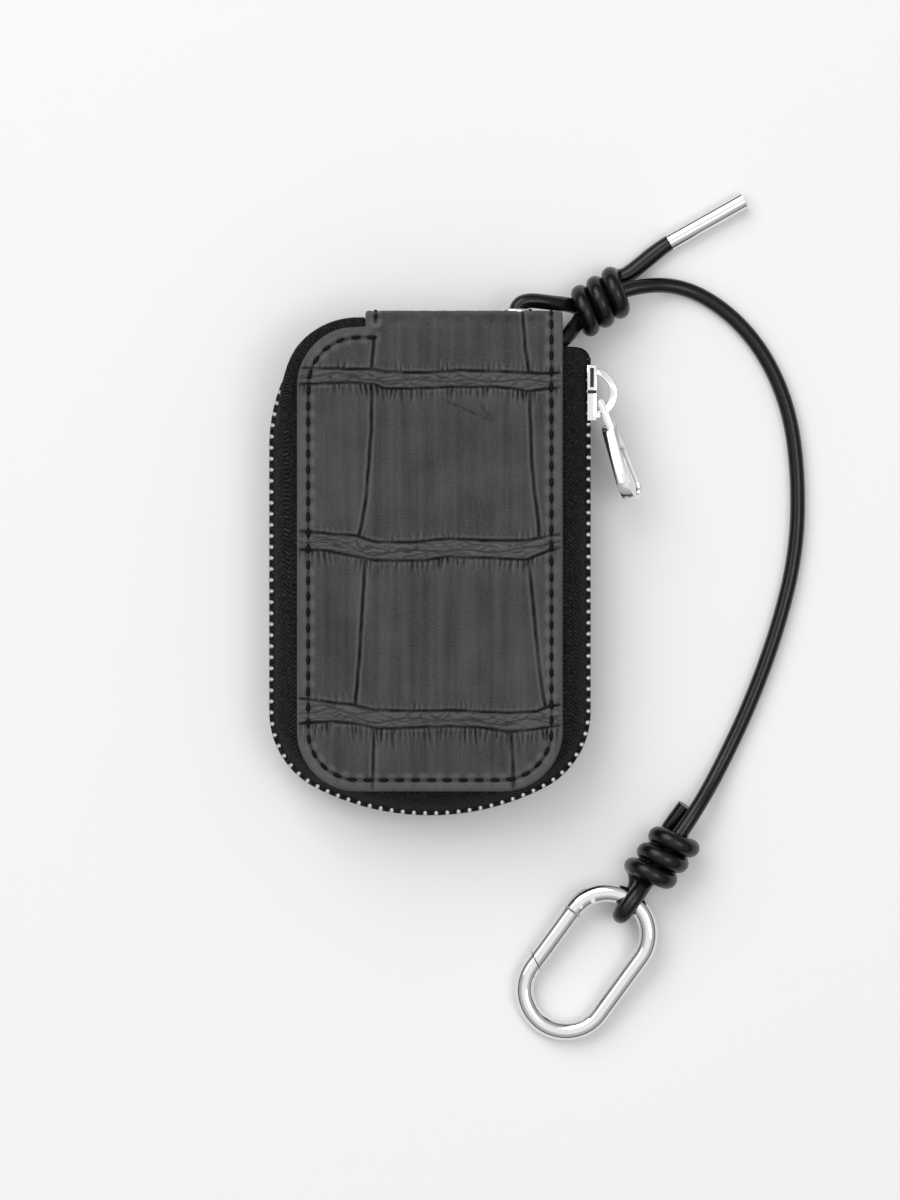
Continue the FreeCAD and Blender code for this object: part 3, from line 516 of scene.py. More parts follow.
def varied(values, level, swing, least, most):
    return np.clip(level + swing * values, least, most)


def bell(off, width):
    return np.exp(-(off / width) ** 2)


def leftEdge(v):
    r = leather["corner"]
    inner = r - leather["halfWidth"]
    low = leather["bottom"] + r
    high = leather["shoulderTop"] - r
    away = np.where(v < low, v - low, np.where(v > high, v - high, 0))
    edge = inner - np.sqrt(np.maximum(r * r - away * away, 0))
    return np.where(v > leather["shoulderTop"], leather["spineLeft"], edge)


def rightEdge(v):
    r = leather["corner"]
    away = np.minimum(v - leather["bottom"] - r, 0)
    return leather["halfWidth"] - r + np.sqrt(np.maximum(r * r - away * away, 0))


def edgeDistance(x, v):
    r = leather["corner"]
    half, bottom = leather["halfWidth"], leather["bottom"]
    top, left = leather["shoulderTop"], leather["spineLeft"]
    d = np.minimum(np.minimum(x + half, half - x), v - bottom)
    low = (v < bottom + r) & (abs(x) > half - r)
    d = np.where(low, r - np.hypot(abs(x) - half + r, v - bottom - r), d)
    shoulder = (v > top - r) & (x < r - half)
    d = np.where(shoulder, r - np.hypot(x + half - r, v - top + r), d)
    d = np.where((v > top - r) & (x < left) & (v <= top), np.minimum(d, top - v), d)
    d = np.where(v > top, np.minimum(x - left, half - x), d)
    return np.minimum(d, np.where((x >= left) & (v <= top), np.hypot(x - left, v - top), 99))


def lineDistance(x, v, line):  # how far off the line, and how far along it
    best = np.full(x.shape, 99.0)
    along = np.zeros(x.shape)
    run = 0.0
    for (ax, av), (bx, bv) in zip(line, line[1:]):
        dx, dv = bx - ax, bv - av
        t = np.clip(((x - ax) * dx + (v - av) * dv) / max(dx * dx + dv * dv, 1e-9), 0, 1)
        d = np.hypot(x - ax - t * dx, v - av - t * dv)
        along = np.where(d < best, run + t * math.hypot(dx, dv), along)
        best = np.minimum(best, d)
        run += math.hypot(dx, dv)
    return best, along


def roundCorner(cx, cy, r, first, last, count=9):
    angles = [math.radians(first + (last - first) * k / count) for k in range(count + 1)]
    return [(cx + r * math.cos(a), cy + r * math.sin(a)) for a in angles]


def stitchLines():
    r = leather["corner"] - stitch["inset"]
    inner = leather["halfWidth"] - leather["corner"]
    low = leather["bottom"] + leather["corner"]
    high = leather["shoulderTop"] - leather["corner"]
    edge = leather["halfWidth"] - stitch["inset"]
    spineX, seam = stitch["spineStitchX"], leather["seam"]
    around = [(edge, seam), (edge, low)] + roundCorner(inner, low, r, 0, -90)
    around += roundCorner(-inner, low, r, -90, -180) + roundCorner(-inner, high, r, 180, 90)
    around.append((spineX, high + r))
    return [around, [(spineX, high + r + stitch["pitch"]), (spineX, seam)]]


def relief(x, v, seed):
    # height above the plain sheet in millimetres, the painted shade in the grooves and the painted highlight
    # on the ridges
    def field(name, shift=0):
        across, up, layer = scales["fields"][name]
        return noiseOver(x, v, across, up, seed + shift + layer)

    wx = x + scales["warp"][0] * field("warpX")
    wv = v + scales["warp"][1] * field("warpV")
    near = np.full(x.shape, 99.0)
    for line in [line for pair in scales["bands"] for line in pair] + scales["uprights"]:
        near = np.minimum(near, lineDistance(wx, wv, line)[0])
    # painted shade in the grooves, and a painted highlight on the lip beside them
    groove = varied(field("uneven"), *scales["uneven"]) * bell(near, scales["width"])
    height = -scales["depth"] * groove - scales["shoulder"] * np.exp(-near / scales["shoulderWidth"])
    ridge = scales["lip"] * bell(near - scales["lipAway"], scales["lipWidth"])
    broken = varied(field("broken"), *scales["broken"])
    for line in scales["creases"]:
        crease = broken * bell(lineDistance(wx, wv, line)[0], scales["creaseWidth"])
        height -= scales["creaseDepth"] * crease
        groove = np.maximum(groove, scales["creaseDark"] * crease)
    net = np.zeros(x.shape)
    for way, shift in scales["netSets"]:
        bend = scales["netBend"] * field("netBend", shift)
        turn = wv * scales["netUp"] + way * wx * scales["netAcross"] + bend
        strength = varied(field("netFade", shift), *scales["netFade"])
        net = np.maximum(net, strength * bell(turn - np.rint(turn), scales["netWidth"]))
    wander = field("wander")
    edge = scales["bandEdge"]
    draw = random.Random(ticks["seed"] + int(seed))
    for (upper, lower), stretch in zip(scales["bands"], ticks["stretch"]):
        top = np.interp(wx, *zip(*upper))
        low = np.interp(wx, *zip(*lower))
        inside = np.clip((top - wv) / edge, 0, 1) * np.clip((wv - low) / edge, 0, 1)
        long = bell(wv - low - (top - low) * (scales["longPlace"] + 0.5 * wander), scales["longWidth"])
        height -= inside * (scales["bandSink"] + scales["netDepth"] * np.maximum(net, long))
        # painted shade in the band's creases, and a painted highlight on its ridges
        groove = np.maximum(groove, inside * np.maximum(scales["netDark"] * net, scales["longDark"] * long))
        ridge = np.maximum(ridge, inside * scales["bandHighlight"] * (1 - net))
        for below, away in enumerate((wv - top, low - wv)):
            spot = -leather["halfWidth"] + ticks["first"]
            while spot < leather["halfWidth"]:
                length = draw.uniform(*ticks["length"][below]) * (stretch if below else 1)
                patch = Vector((spot * ticks["patchScale"], ticks["patchRow"] * below, low[0] + seed))
                depth = draw.uniform(*ticks["depth"][below]) * varied(noise.noise(patch), *ticks["patch"])
                lean = draw.uniform(-ticks["lean"], ticks["lean"])
                wide = draw.uniform(*ticks["width"])
                fade = np.clip(ticks["fade"] * (1 - away / length), 0, 1)
                fade *= np.clip(away / ticks["start"] + ticks["startShare"], 0, 1)
                off = wx - spot - lean * away
                mark = bell(off, wide) * fade
                lip = bell(off - ticks["lipAway"] * wide, wide) * fade
                height += depth * (ticks["lipRise"] * lip - mark)
                # painted shade in the wrinkle, and a painted highlight on its lip
                groove = np.maximum(groove, ticks["dark"] * depth * mark)
                ridge = np.maximum(ridge, ticks["pale"][below] * depth * lip)
                spot += draw.uniform(*ticks["spacing"][below])
    height += scales["streaks"][0] * field("broadStreak") + scales["streaks"][1] * field("fineStreak")
    # the stitch channel: a dent with painted shade in it and a painted highlight beside it
    for line in stitchLines():
        seam, along = lineDistance(x, v, line)
        pull = stitch["pull"] - stitch["pullSwing"] * np.cos(2 * math.pi * along / stitch["pitch"])
        height -= stitch["channel"] * pull * bell(seam, stitch["channelWidth"])
        groove = np.maximum(groove, stitch["dark"] * bell(seam, stitch["darkWidth"]))
        pale = (stitch["pale"] - pull) * bell(seam - stitch["paleAway"], stitch["paleWidth"])
        ridge = np.maximum(ridge, pale)
    d = np.clip(edgeDistance(x, v), 0, None)
    outside = d < stitch["inset"] - stitch["borderGap"]  # the border outside the stitches gets a painted highlight
    ridge = np.maximum(ridge, stitch["border"] * outside)
    r = leather["edgeRound"]
    inset = np.clip(r - d, 0, r)
    keep = np.clip(d / leather["plainEdge"], 0, 1)
    height = height * keep - (r - np.sqrt(r * r - inset * inset))
    return height, np.clip(groove, 0, 1) * keep, np.clip(ridge, 0, 1)


def folded(x, v, height):
    bend, foldY, depth = leather["bend"], leather["foldY"], leather["depth"]
    angle = np.clip((v - foldY) / bend, 0, math.pi / 2)
    past = np.maximum(v - foldY - bend * math.pi / 2, 0)
    y = np.minimum(v, foldY) + (bend + height) * np.sin(angle)
    z = depth - bend + (bend + height) * np.cos(angle) - past
    return np.stack([x, y, np.where(v <= foldY, depth + height, z)], 1)


def turnedOver(spots):  # from the front half to the back half
    return spots * [1, 1, -1] + [0, 0, leather["depth"]]


def placed(spots, back):
    return ((turnedOver(spots) if back else spots) * mm).astype(np.float32).ravel()


def gridPiece(name, across, up):
    clearSelection()
    bpy.ops.mesh.primitive_grid_add(x_subdivisions=len(across) - 1, y_subdivisions=len(up) - 1, size=2)
    piece = bpy.context.object
    piece.name = name
    spots = np.zeros(len(piece.data.vertices) * 3, np.float32)
    piece.data.vertices.foreach_get("co", spots)
    spots = spots.reshape(-1, 3)
    column = np.rint((spots[:, 0] + 1) / 2 * (len(across) - 1)).astype(int)
    row = np.rint((spots[:, 1] + 1) / 2 * (len(up) - 1)).astype(int)
    return piece, across[column], up[row]


def giveValues(piece, name, values):
    layer = piece.data.attributes.new(name, "FLOAT", "POINT")
    layer.data.foreach_set("value", values.astype(np.float32))


def takeValues(piece, name):
    values = np.zeros(len(piece.data.vertices), np.float32)
    layer = piece.data.attributes[name]
    layer.data.foreach_get("value", values)
    piece.data.attributes.remove(layer)
    return values.astype(float)


def cutSheet(piece, unwanted, turned, thickness):  # a flat piece loses some faces and gets a wall
    editParts(piece, "FACE", unwanted)
    bpy.ops.mesh.delete(type="FACE")
    if turned:
        bpy.ops.mesh.select_all(action="SELECT")
        bpy.ops.mesh.flip_normals()
    leaveEdit()
    wall = piece.modifiers.new("wall", "SOLIDIFY")
    wall.thickness = thickness * mm
    wall.offset = -1
    wall.use_even_offset = True
    applyModifiers(piece)


def widenInside(piece, outer, x, v, back):  # the plain inner side becomes strips from edge to edge
    top = leather["seam"] - leather["eyeletHole"] - leather["holeMargin"]
    levels = sorted({round(a, 3) for a in v if a < top})
    rank = {level: k for k, level in enumerate(levels)}
    row = [rank.get(round(a, 3), -1) for a in v]
    shape = bmesh.new()
    shape.from_mesh(piece.data)
    shape.verts.ensure_lookup_table()
    rows = [[] for level in levels]
    for i in sorted(range(outer, len(x)), key=lambda i: x[i]):
        if row[i] >= 0:
            rows[row[i]].append(shape.verts[i])
    small = [f for f in shape.faces if all(p.index >= outer and row[p.index] >= 0 for p in f.verts)]
    ends = [(line[0], line[-1]) for line in rows]
    bmesh.ops.delete(shape, geom=small, context="FACES_ONLY")
    strips = [rows[0] + [ends[1][1], ends[1][0]]]
    strips += [[a[0], a[1], b[1], b[0]] for a, b in zip(ends[1:-2], ends[2:-1])]
    strips.append([ends[-2][0], ends[-2][1]] + rows[-1][::-1])
    for strip in strips:
        shape.faces.new(strip if back else strip[::-1])
    bmesh.ops.delete(shape, geom=[e for e in shape.edges if not e.link_faces], context="EDGES")
    bmesh.ops.delete(shape, geom=[p for p in shape.verts if not p.link_edges], context="VERTS")
    shape.to_mesh(piece.data)
    shape.free()


def leatherFinish():
    material, wire, shader = newFinish("crocLeather", {"Specular IOR Level": 0.24})
    place = wire.place()
    groove, ridge = wire.attribute("groove"), wire.attribute("ridge")
    mottle = wire.noise(place, 130.0)
    streak = wire.noise(place, 620.0, 4.0, (1.0, 0.035, 1.0))
    pores = wire.noise(place, 2600.0, 3.0)
    tone = 0.9 * mottle + 1.3 * streak + 1.2 * pores - 1.2
    surface = tone.mixed(grey(0.016, 0.01), grey(0.064, 0.01))
    # ridges are lightened as painted highlight, grooves darkened as painted shade
    highlighted = (0.8 * ridge).mixed(surface, grey(0.130, 0.01))
    feedAll(shader, groove.mixed(highlighted, grey(0.003)), 0.50 + 0.10 * streak + 0.22 * groove - 0.05 * mottle,
            0.45 * pores + 0.35 * streak + 0.2 * mottle, 0.00006)
    return material


def handOver(piece, degrees, material, slot, body, *replaced):  # without a body its placement is baked into its mesh
    smoothBelow(piece, degrees)
    useFinish(piece, material)
    if replaced:
        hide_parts(*replaced)
    if body:
        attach(piece, body)
    else:
        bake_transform(piece)


def makeLeather(name, back, material, *replaced):
    piece, x, v = gridPiece(name, spaced(leather["columns"]), spaced(leather["rows"]))
    half, low, high = leather["halfWidth"], leather["leftAnchor"], leather["rightAnchor"]
    x = np.where(x < low, low + (x - low) * (low - leftEdge(v)) / (half + low), x)
    x = np.where(x > high, high + (x - high) * (rightEdge(v) - high) / (half - high), x)
    giveValues(piece, "flatX", x)
    giveValues(piece, "flatV", v)
    piece.data.vertices.foreach_set("co", placed(folded(x, v, 0 * x), back))
    hole = np.hypot(x - leather["eyeletX"], v - leather["seam"]) < leather["eyeletHole"]
    cutSheet(piece, lambda face: any(hole[i] for i in face.vertices), back, leather["thickness"])
    x, v = takeValues(piece, "flatX"), takeValues(piece, "flatV")
    outer = len(x) // 2  # the wall's inner points come after the outer ones
    height, groove, ridge = relief(x[:outer], v[:outer], 40.0 if back else 0.0)
    if back:
        height = np.minimum(height, 0)  # pressed flat where the case lies on it
    spots = np.zeros(len(piece.data.vertices) * 3, np.float32)
    piece.data.vertices.foreach_get("co", spots)
    spots[:outer * 3] = placed(folded(x[:outer], v[:outer], height), back)
    piece.data.vertices.foreach_set("co", spots)
    plain = np.zeros(len(x) - outer)
    # painted shade in the grooves and painted highlight on the ridges, passed to the finish
    giveValues(piece, "groove", np.concatenate([groove, plain]))
    giveValues(piece, "ridge", np.concatenate([ridge, plain]))
    widenInside(piece, outer, x, v, back)
    handOver(piece, 50, material, "leather_shell", "case_back" if back else None, *replaced)


def makeShell():
    material = leatherFinish()
    makeLeather("leatherFront", False, material, "front_cover", "spine_cover")
    makeLeather("leatherBack", True, material, "back_cover")


makeShell()
print("leather sheets made")


def stitchSpots(line):  # place and way of each stitch on a flat line
    spots = []
    run, due = 0.0, stitch["pitch"] / 2
    for (ax, av), (bx, bv) in zip(line, line[1:]):
        length = math.hypot(bx - ax, bv - av)
        while length > 1e-6 and due <= run + length:
            t = (due - run) / length
            spots.append((ax + t * (bx - ax), av + t * (bv - av), (bx - ax) / length, (bv - av) / length))
            due += stitch["pitch"]
        run += length
    return spots


def oneStitch():
    clearSelection()
    bpy.ops.mesh.primitive_uv_sphere_add(segments=8, ring_count=6, radius=0.5 * mm, location=(0, 0, 0))
    piece = bpy.context.object
    editAll(piece)
    bpy.ops.transform.rotate(value=math.pi / 2, orient_axis="X", center_override=(0, 0, 0))
    resize((stitch["width"], stitch["length"], stitch["height"]))
    leaveEdit()
    ends = 0.3 * stitch["length"] * mm
    editParts(piece, "VERT", lambda point: abs(point.co.y) > ends)  # the ends go down into their holes
    bpy.ops.transform.translate(value=(0, 0, -stitch["dip"] * mm))
    leaveEdit()
    return piece


def copiesOf(model, name, turns):  # one piece of many copies of a model, each turned to its place
    copies = []
    for turn in turns:
        mesh = model.data.copy()
        mesh.transform(turn)
        copies.append(newPiece(name, mesh))
    clearSelection()
    for copy in copies:
        copy.select_set(True)
    bpy.context.view_layer.objects.active = copies[0]
    bpy.ops.object.join()
    copies[0].name = name
    return copies[0]


def facing(spot, ahead, up):  # turns a model's Y ahead and its Z up, and puts it at a spot in millimetres
    ahead, up = Vector(ahead).normalized(), Vector(up).normalized()
    across = ahead.cross(up)
    turn = Matrix((across, ahead, across.cross(ahead))).transposed().to_4x4()
    turn.translation = Vector(spot) * mm
    return turn


def stitchTurns(back):
    turns = []
    rise = stitch["backRise" if back else "rise"]
    for line in stitchLines():
        for x, v, dx, dv in stitchSpots(line):
            # the stitch's place, a little further on and a little higher
            steps = np.array([(x, v, rise), (x + 0.05 * dx, v + 0.05 * dv, rise), (x, v, rise + 1)])
            spots = folded(*steps.T)
            if back:
                spots = turnedOver(spots)
            turns.append(facing(spots[0], spots[1] - spots[0], spots[2] - spots[0]))
    return turns


def threadFinish():
    material, wire, shader = newFinish("blackThread", {"Specular IOR Level": 0.12})
    fibre = wire.noise(wire.place(), 2600.0, 2.0)
    feedAll(shader, fibre.mixed(grey(0.001), grey(0.005)), 0.45 + 0.2 * fibre, fibre, 0.00004)
    return material


def makeStitches():
    model = oneStitch()
    material = threadFinish()
    for name, back in (("stitchesFront", False), ("stitchesBack", True)):
        piece = copiesOf(model, name, stitchTurns(back))
        handOver(piece, 60, material, "zip_tape", "case_back" if back else None)
    bpy.data.objects.remove(model)


makeStitches()
print("stitches sewn")


# Zip: a tape from each panel's edge to the chain, which runs outside it round three sides
zipTape = {
    "heading": -90.0, "panelStart": (26.4, 41.6), "chainStart": (31.0, 41.6),
    # straight length, or radius and right turn
    "panelSteps": [(74.9, 0, 0), (0, 12, 90), (28.8, 0, 0), (0, 12, 90), (68.4, 0, 0), (0, 12, 30),
                   (0, 12, 60), (1.2, 0, 0)],
    "chainSteps": [(71.19, 0, 0), (0, 16, 62.97), (0, 49, 54.06), (0, 16, 62.97), (52.89, 0, 0),
                   (0, 33.4, 30), (0, 14, 60), (1.2, 0, 0)],
    "divisions": [56, 20, 26, 20, 44, 16, 18, 3],
    # how far out from the panel's edge, and height: on the panel, and then where the bend starts
    "outerBrim": [(-4.5, 18.55), (-0.9, 18.55), (-0.8, 18.52)],
    "innerBrim": [(-4.5, 18.05), (-0.9, 18.05), (-1.1, 18.05)],
    # how far out from the chain, and height: the bend's middle, moved by the swell, and its end
    "outerBend": [(0.0, 17.7), (0.1, 12.7)],
    "innerBend": [(-0.6, 17.1), (-0.55, 12.9)],
    "bead": [(0.3, 12.5), (0.75, 12.15), (1.08, 11.75), (1.08, 11.35), (0.75, 11.1), (0.0, 11.0),
             (-0.75, 11.2), (-1.0, 11.6), (-0.95, 12.2)],
    "swell": -0.9, "shoulderSwell": 4.2, "shoulderFrom": 22.0, "shoulderRun": 22.0, "tuckSwell": [0.75, 0.35],
    "endRise": [1.6, 1.36, 0.8], "endTop": 43.2, "endRound": 2.9, "tuck": [0.8, 1.6],
    "flat": (0.0140, 0.239), "rib": 0.8, "herringbone": 3.6, "yarn": 0.5, "around": 40.0,
}

zipTooth = {"first": 2.85, "pitch": 2.2, "count": 105, "length": 0.85, "halfWidth": 1.12, "top": 12.6,
            "shank": 11.0, "head": 9.5, "headShare": 0.72, "soften": 0.24, "stopOffset": 0.9}

# Softened edges: their widths, and the least angle at which an edge is softened
soft = {"slider": 0.22, "puller": 0.25, "key": 0.15, "cap": 0.12, "angle": 32}


def softenEdges(piece, width, segments=2):
    edge = piece.modifiers.new("soften", "BEVEL")
    edge.width = width * mm
    edge.segments = segments
    edge.limit_method = "ANGLE"
    edge.angle_limit = math.radians(soft["angle"])
    applyModifiers(piece)


def walkPath(edge):  # along the panel or the chain: points, ways out and headings
    x, y = zipTape[edge + "Start"]
    heading = zipTape["heading"]
    spots, ways = [], []
    for (length, radius, turn), count in zip(zipTape[edge + "Steps"], zipTape["divisions"]):
        a = math.radians(heading)
        cx, cy = x + radius * math.sin(a), y - radius * math.cos(a)
        for k in range(count + 1):
            b = math.radians(heading - turn * k / count)
            if turn:
                x, y = cx - radius * math.sin(b), cy + radius * math.cos(b)
            elif k:
                x, y = x + length / count * math.cos(a), y + length / count * math.sin(a)
            if k or not spots:
                spots.append((x, y))
                ways.append(b)
        heading -= turn
    spots, ways = np.array(spots), np.array(ways)
    return spots, np.stack([-np.sin(ways), np.cos(ways)], 1), ways


def runLength(spots):
    return np.concatenate([[0], np.cumsum(np.linalg.norm(np.diff(spots, axis=0), axis=1))])


def tapeEnds(values):  # three more stations at the right end and two under the spine's left edge
    return np.concatenate([values[:1]] * 3 + [values] + [values[-1:]] * 2)


def tapeSections():
    panel, panelOut = map(tapeEnds, walkPath("panel")[:2])
    chain, chainOut = map(tapeEnds, walkPath("chain")[:2])
    grown = np.clip((chain[:, 1] - zipTape["shoulderFrom"]) / zipTape["shoulderRun"], 0, 1)
    grown *= chain[:, 0] < 0  # only towards the left shoulder
    grown[-2:] = zipTape["tuckSwell"]
    grown = grown * grown * (3 - 2 * grown)
    for spots in (panel, chain):
        spots[:3, 1] += zipTape["endRise"]
        spots[-2:, 0] += zipTape["tuck"]
    r = zipTape["endRound"]
    over = np.clip(chain[:, 1] - zipTape["endTop"] + r, 0, r) * (chain[:, 0] > 0)
    chain = chain - chainOut * (r - np.sqrt(r * r - over * over))[:, None]  # rounds the right end
    swell = (zipTape["swell"] + (zipTape["shoulderSwell"] - zipTape["swell"]) * grown)[:, None]

    def line(spots, out, away, z):
        return np.concatenate([spots + away * out, np.full((len(spots), 1), float(z))], 1)

    def wall(brim, bend):
        flat = [line(panel, panelOut, *place) for place in brim]
        (away, z), end = bend
        a, k, b = flat.pop(), line(chain, chainOut, away + swell, z), line(chain, chainOut, *end)
        return flat + [a * (1 - t) ** 2 + 2 * k * t * (1 - t) + b * t * t for t in np.arange(1, 10) / 10]

    sections = wall(zipTape["outerBrim"], zipTape["outerBend"])
    sections += [line(chain, chainOut, *place) for place in zipTape["bead"]]
    sections += wall(zipTape["innerBrim"], zipTape["innerBend"])[::-1]
    return np.stack(sections, 1), runLength(chain)


def tapeFinish():
    material, wire, shader = newFinish("twillTape", {"Specular IOR Level": 0.12})
    along, aside = wire.attribute("along"), wire.attribute("aside")
    half = zipTape["herringbone"] / 2
    zigzag = wire.maths("ABSOLUTE", aside % (2 * half) - half)
    rib = wire.maths("SINE", (along + zigzag) * (2 * math.pi / zipTape["rib"]))
    yarn = wire.maths("SINE", aside * (2 * math.pi / zipTape["yarn"]))
    fluff = wire.noise(wire.place(), 1500.0, 3.0)
    weave = 0.5 + 0.3 * rib + 0.12 * yarn * rib
    feedAll(shader, ((weave * fluff * 1.7) ** 2.6).mixed(grey(0.0005), grey(0.054)), 0.82 - 0.14 * weave,
            0.75 * weave + 0.25 * fluff, 0.0002)
    return material


def makeTape(name, back, material, replaced):
    sections, run = tapeSections()
    stations, count = sections.shape[:2]
    piece, station, ring = gridPiece(name, np.arange(stations), np.arange(count + 1))
    giveValues(piece, "along", run[station])
    giveValues(piece, "aside", np.append(runLength(sections[stations // 3]), zipTape["around"])[ring])
    piece.data.vertices.foreach_set("co", placed(sections[station, ring % count], back))
    editAll(piece)
    bpy.ops.mesh.remove_doubles(threshold=0.01 * mm)
    bpy.ops.mesh.fill_holes(sides=0)
    bpy.ops.mesh.select_all(action="SELECT")
    bpy.ops.mesh.normals_make_consistent(inside=False)
    leaveEdit()
    handOver(piece, 50, material, "zip_tape", "case_back" if back else "case_front", replaced)


def oneTooth():
    clearSelection()
    bpy.ops.mesh.primitive_cube_add(size=1 * mm, location=(0, 0, 0))
    piece = bpy.context.object
    shank, share = zipTooth["top"] - zipTooth["shank"], zipTooth["headShare"]
    editAll(piece)
    resize((2 * zipTooth["halfWidth"], zipTooth["length"], shank))
    bpy.ops.transform.translate(value=(0, 0, (zipTooth["top"] - shank / 2) * mm))
    leaveEdit()
    editParts(piece, "FACE", lambda face: face.normal.z < -0.9)
    extrude((zipTooth["head"] - zipTooth["shank"]) * mm)
    resize((share, share, 1), zipTooth["head"] * mm)
    leaveEdit()
    softenEdges(piece, zipTooth["soften"], 1)
    return piece


def chainTurns(places, back):  # a tooth's Y runs along the chain and its X across it
    spots, out, ways = walkPath("chain")
    run = runLength(spots)
    z, up = (leather["depth"], -1) if back else (0, 1)
    turns = []
    for place in places:
        x, y, way = (np.interp(place, run, values) for values in (spots[:, 0], spots[:, 1], ways))
        turns.append(facing((x, y, z), (math.cos(way), math.sin(way), 0), (0, 0, up)))
    return turns


def makeTeeth():
    model = oneTooth()
    cast = metalFinish("castNickel")
    long = runLength(walkPath("chain")[0])[-1]
    for name, back, body in (("Front", False, "case_front"), ("Back", True, "case_back")):
        first = zipTooth["first"] + (zipTooth["pitch"] / 2 if back else 0)
        places = [first + k * zipTooth["pitch"] for k in range(zipTooth["count"])]
        ends = [zipTooth["stopOffset"], long - zipTooth["stopOffset"]]
        for kind, spots, finish in (("teeth", places, cast), ("stops", ends, blackAndRecessShade)):
            piece = copiesOf(model, kind + name, chainTurns(spots, back))
            handOver(piece, 30, finish, "zip_metal", body, name.lower() + "_zip_" + kind)
    bpy.data.objects.remove(model)


def makeZip():
    tape = tapeFinish()
    makeTape("tapeFront", False, tape, "front_zip_tape")
    makeTape("tapeBack", True, tape, "back_zip_tape")
    makeTeeth()


makeZip()
print("zip made")


# Slider, puller and key holder: the frame's shapes with softened edges.
# The cap is the rim that folds over the chain, with its slot and its cross band, which get painted shade
# inside.
sliderCap = {"x": (31.4, 33.2), "y": (28.5, 39.5), "z": (12.4, 13.3), "slotFrom": 34.6, "bandFrom": 33.8,
             "slotRim": 0.53, "slotDepth": 0.5, "bandRim": 0.06, "bandDepth": 0.25,
             # how far the painted shade in the slot and band keeps from the cap's bottom, top and sides
             "shadeBelow": 0.18, "shadeAbove": 0.1, "shadeInside": 0.03}


def softCopy(node, name, width, material, slot, body):
    piece = newPiece(name, nodes[node].data.copy())
    editAll(piece)
    bpy.ops.mesh.remove_doubles(threshold=0.005 * mm)
    bpy.ops.mesh.dissolve_limited(angle_limit=math.radians(1))
    leaveEdit()
    softenEdges(piece, width)
    handOver(piece, 40, material, slot, body, node)


def makeSliderCap():
    clearSelection()
    (x0, x1), (y0, y1), (z0, z1) = sliderCap["x"], sliderCap["y"], sliderCap["z"]
    band, slot = sliderCap["bandFrom"], sliderCap["slotFrom"]
    bpy.ops.mesh.primitive_cube_add(size=1, location=(0, 0, 0))
    piece = bpy.context.object
    piece.name = "sliderCap"
    editAll(piece)
    resize(((x1 - x0) * mm, (y1 - y0) * mm, (z1 - z0) * mm))
    bpy.ops.transform.translate(value=((x0 + x1) / 2 * mm, (y0 + y1) / 2 * mm, (z0 + z1) / 2 * mm))
    for y in (band, slot):
        bpy.ops.mesh.select_all(action="SELECT")
        bpy.ops.mesh.bisect(plane_co=(0, y * mm, 0), plane_no=(0, 1, 0))
    leaveEdit()
    for low, high, kind in ((slot, y1, "slot"), (band, slot, "band")):
        editParts(piece, "FACE", lambda face: face.normal.z > 0.9 and low < face.center.y / mm < high and
                  face.center.z / mm > z1 - 0.1)
        bpy.ops.mesh.inset(thickness=sliderCap[kind + "Rim"] * mm)
        extrude(-sliderCap[kind + "Depth"] * mm)
        leaveEdit()
    softenEdges(piece, soft["cap"])
    smoothBelow(piece, 40)
    useFinish(piece, chrome)
    # the faces down in the slot and the cross band get the black finish as painted shade
    piece.data.materials.append(blackAndRecessShade)
    low, high, side = z0 + sliderCap["shadeAbove"], z1 - sliderCap["shadeBelow"], sliderCap["shadeInside"]
    for face in piece.data.polygons:
        x, y, z = face.center / mm
        if x0 + side < x < x1 - side and y > band and low < z < high:
            face.material_index = 1
    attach(piece, "slider")


def makeSmallMetal():
    softCopy("zip_slider", "sliderBody", soft["slider"], chrome, "slider_metal", "slider")
    makeSliderCap()
    softCopy("zip_puller", "pullerDrop", soft["puller"], chrome, "slider_metal", "puller")
    softCopy("key_plate", "keyPlate", soft["key"], satin, "key_metal", "case_back")
    for k in (1, 2, 3, 4):
        softCopy("key_hook_%d" % k, "keyHook%d" % k, soft["key"], satin, "key_metal", "hook_%d" % k)


makeSmallMetal()
print("slider, puller and key holder softened")


# Inside: lining cloth on both panels and in the spine, and the boards behind it
lining = {"inset": 1.0, "top": 43.6, "tabTop": 46.1, "tabRight": -13.2, "face": 17.5, "thickness": 0.42,
          "step": 1.0, "tabStep": 0.5, "flat": (0.0508, 0.0904), "area": 0.0044,
          "rollOff": 1.6, "rollRise": 0.3, "pucker": 0.07, "puckerScale": (0.12, 0.07),
          "spineX": (-12.3, 25.9), "spineZ": (4.0, 16.0), "spineY": 48.45, "spineSteps": (0.8, 0.6),
          "spinePucker": 0.05, "spineThickness": 0.4, "spineFlat": (0.0382, 0.0120), "hole": 2.5,
          "thread": 0.36}


def clothFinish():
    material, wire, shader = newFinish("liningTwill", {"Specular IOR Level": 0.2})
    place = wire.place()
    x, y, z = (wire.node("SeparateXYZ", None, {0: place}, axis) for axis in "XYZ")
    turn = 2 * math.pi / (lining["thread"] * mm)
    warp = wire.maths("SINE", (x + y + z) * turn)
    weft = wire.maths("SINE", (x - y - z) * turn)
    fluff = wire.noise(place, 900.0, 3.0)
    weave = 0.5 + 0.3 * warp + 0.2 * weft
    feedAll(shader, (0.6 * weave + 0.5 * fluff).mixed(grey(0.010, 0.02), grey(0.040, 0.02)),
            0.9 - 0.15 * weave, weave, 0.00008)
    return material


def boardFinish():
    material, wire, shader = newFinish("greyBoard", {"Specular IOR Level": 0.2})
    fibre = wire.noise(wire.place(), 700.0, 4.0, (1.0, 0.3, 1.0))
    feedAll(shader, fibre.mixed(grey(0.16, 0.06), grey(0.30, 0.06)), 0.8 + 0.1 * fibre, fibre, 0.00006)
    return material


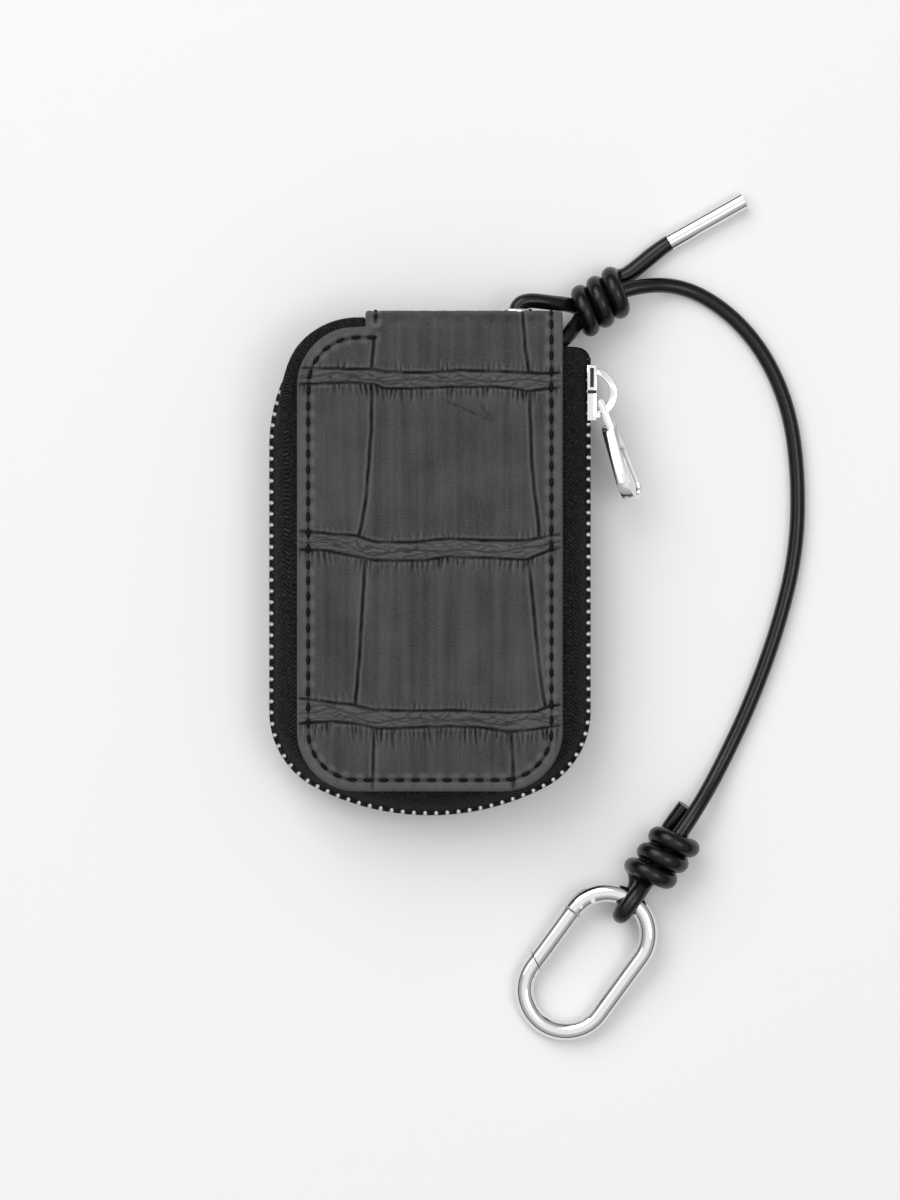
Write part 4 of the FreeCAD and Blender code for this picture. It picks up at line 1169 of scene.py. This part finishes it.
def makeLining(name, back, material, replaced, body):
    half, inset, tab = leather["halfWidth"] - lining["inset"], lining["inset"], lining["tabRight"]
    low, r = leather["bottom"] + inset, leather["corner"] - inset
    columns = spaced([(-half, lining["step"]), (tab, lining["step"]), (half, 0)])
    rows = spaced([(low, lining["step"]), (lining["top"], lining["tabStep"]), (lining["tabTop"], 0)])
    piece, x, y = gridPiece(name, columns, rows)
    inner = half - r
    down = np.clip(low + r - y, 0, r)
    rise = np.clip(y - (leather["shoulderTop"] - inset - r), 0, r)
    left = -inner - np.sqrt(np.maximum(r * r - np.maximum(down, rise) ** 2, 0))
    right = inner + np.sqrt(np.maximum(r * r - down ** 2, 0))
    share = np.where(x < tab, (left - tab) / (-half - tab), (right - tab) / (half - tab))
    x = tab + (x - tab) * share
    edge = np.minimum(np.minimum(x - left, right - x), np.minimum(y - low, lining["top"] - y))
    roll = np.clip(1 - np.maximum(edge, 0) / lining["rollOff"], 0, 1)
    pucker = lining["pucker"] * (0.5 + 0.5 * noiseOver(x, y, *lining["puckerScale"], 60.0 + 9 * back))
    spots = np.stack([x, y, lining["face"] + lining["rollRise"] * roll ** 3 + pucker], 1)
    piece.data.vertices.foreach_set("co", placed(spots, back))
    cutSheet(piece, lambda face: face.center.y / mm > lining["top"] and face.center.x / mm > tab,
             not back, lining["thickness"])
    handOver(piece, 50, material, "lining_cloth", body, replaced)


def makeSpineLining(material):
    columns, rows = (spaced([(low, step), (high, 0)]) for (low, high), step in
                     zip((lining["spineX"], lining["spineZ"]), lining["spineSteps"]))
    piece, x, z = gridPiece("liningSpine", columns, rows)
    y = lining["spineY"] + lining["spinePucker"] * noiseOver(x, z, 0.2, 0.3, 80.0)
    piece.data.vertices.foreach_set("co", placed(np.stack([x, y, z], 1), False))
    eyeletX, eyeletZ = leather["eyeletX"], leather["depth"] / 2
    cutSheet(piece, lambda face: math.hypot(face.center.x / mm - eyeletX, face.center.z / mm - eyeletZ) <
             lining["hole"], False, lining["spineThickness"])
    handOver(piece, 50, material, "lining_cloth", "case_back", "spine_lining")


def makeInside():
    cloth = clothFinish()
    makeLining("liningFront", False, cloth, "front_lining", "case_front")
    makeLining("liningBack", True, cloth, "back_lining", "case_back")
    makeSpineLining(cloth)
    board = boardFinish()
    for name in ("front_board", "back_board"):
        useFinish(nodes[name], board)


makeInside()
print("inside lined")
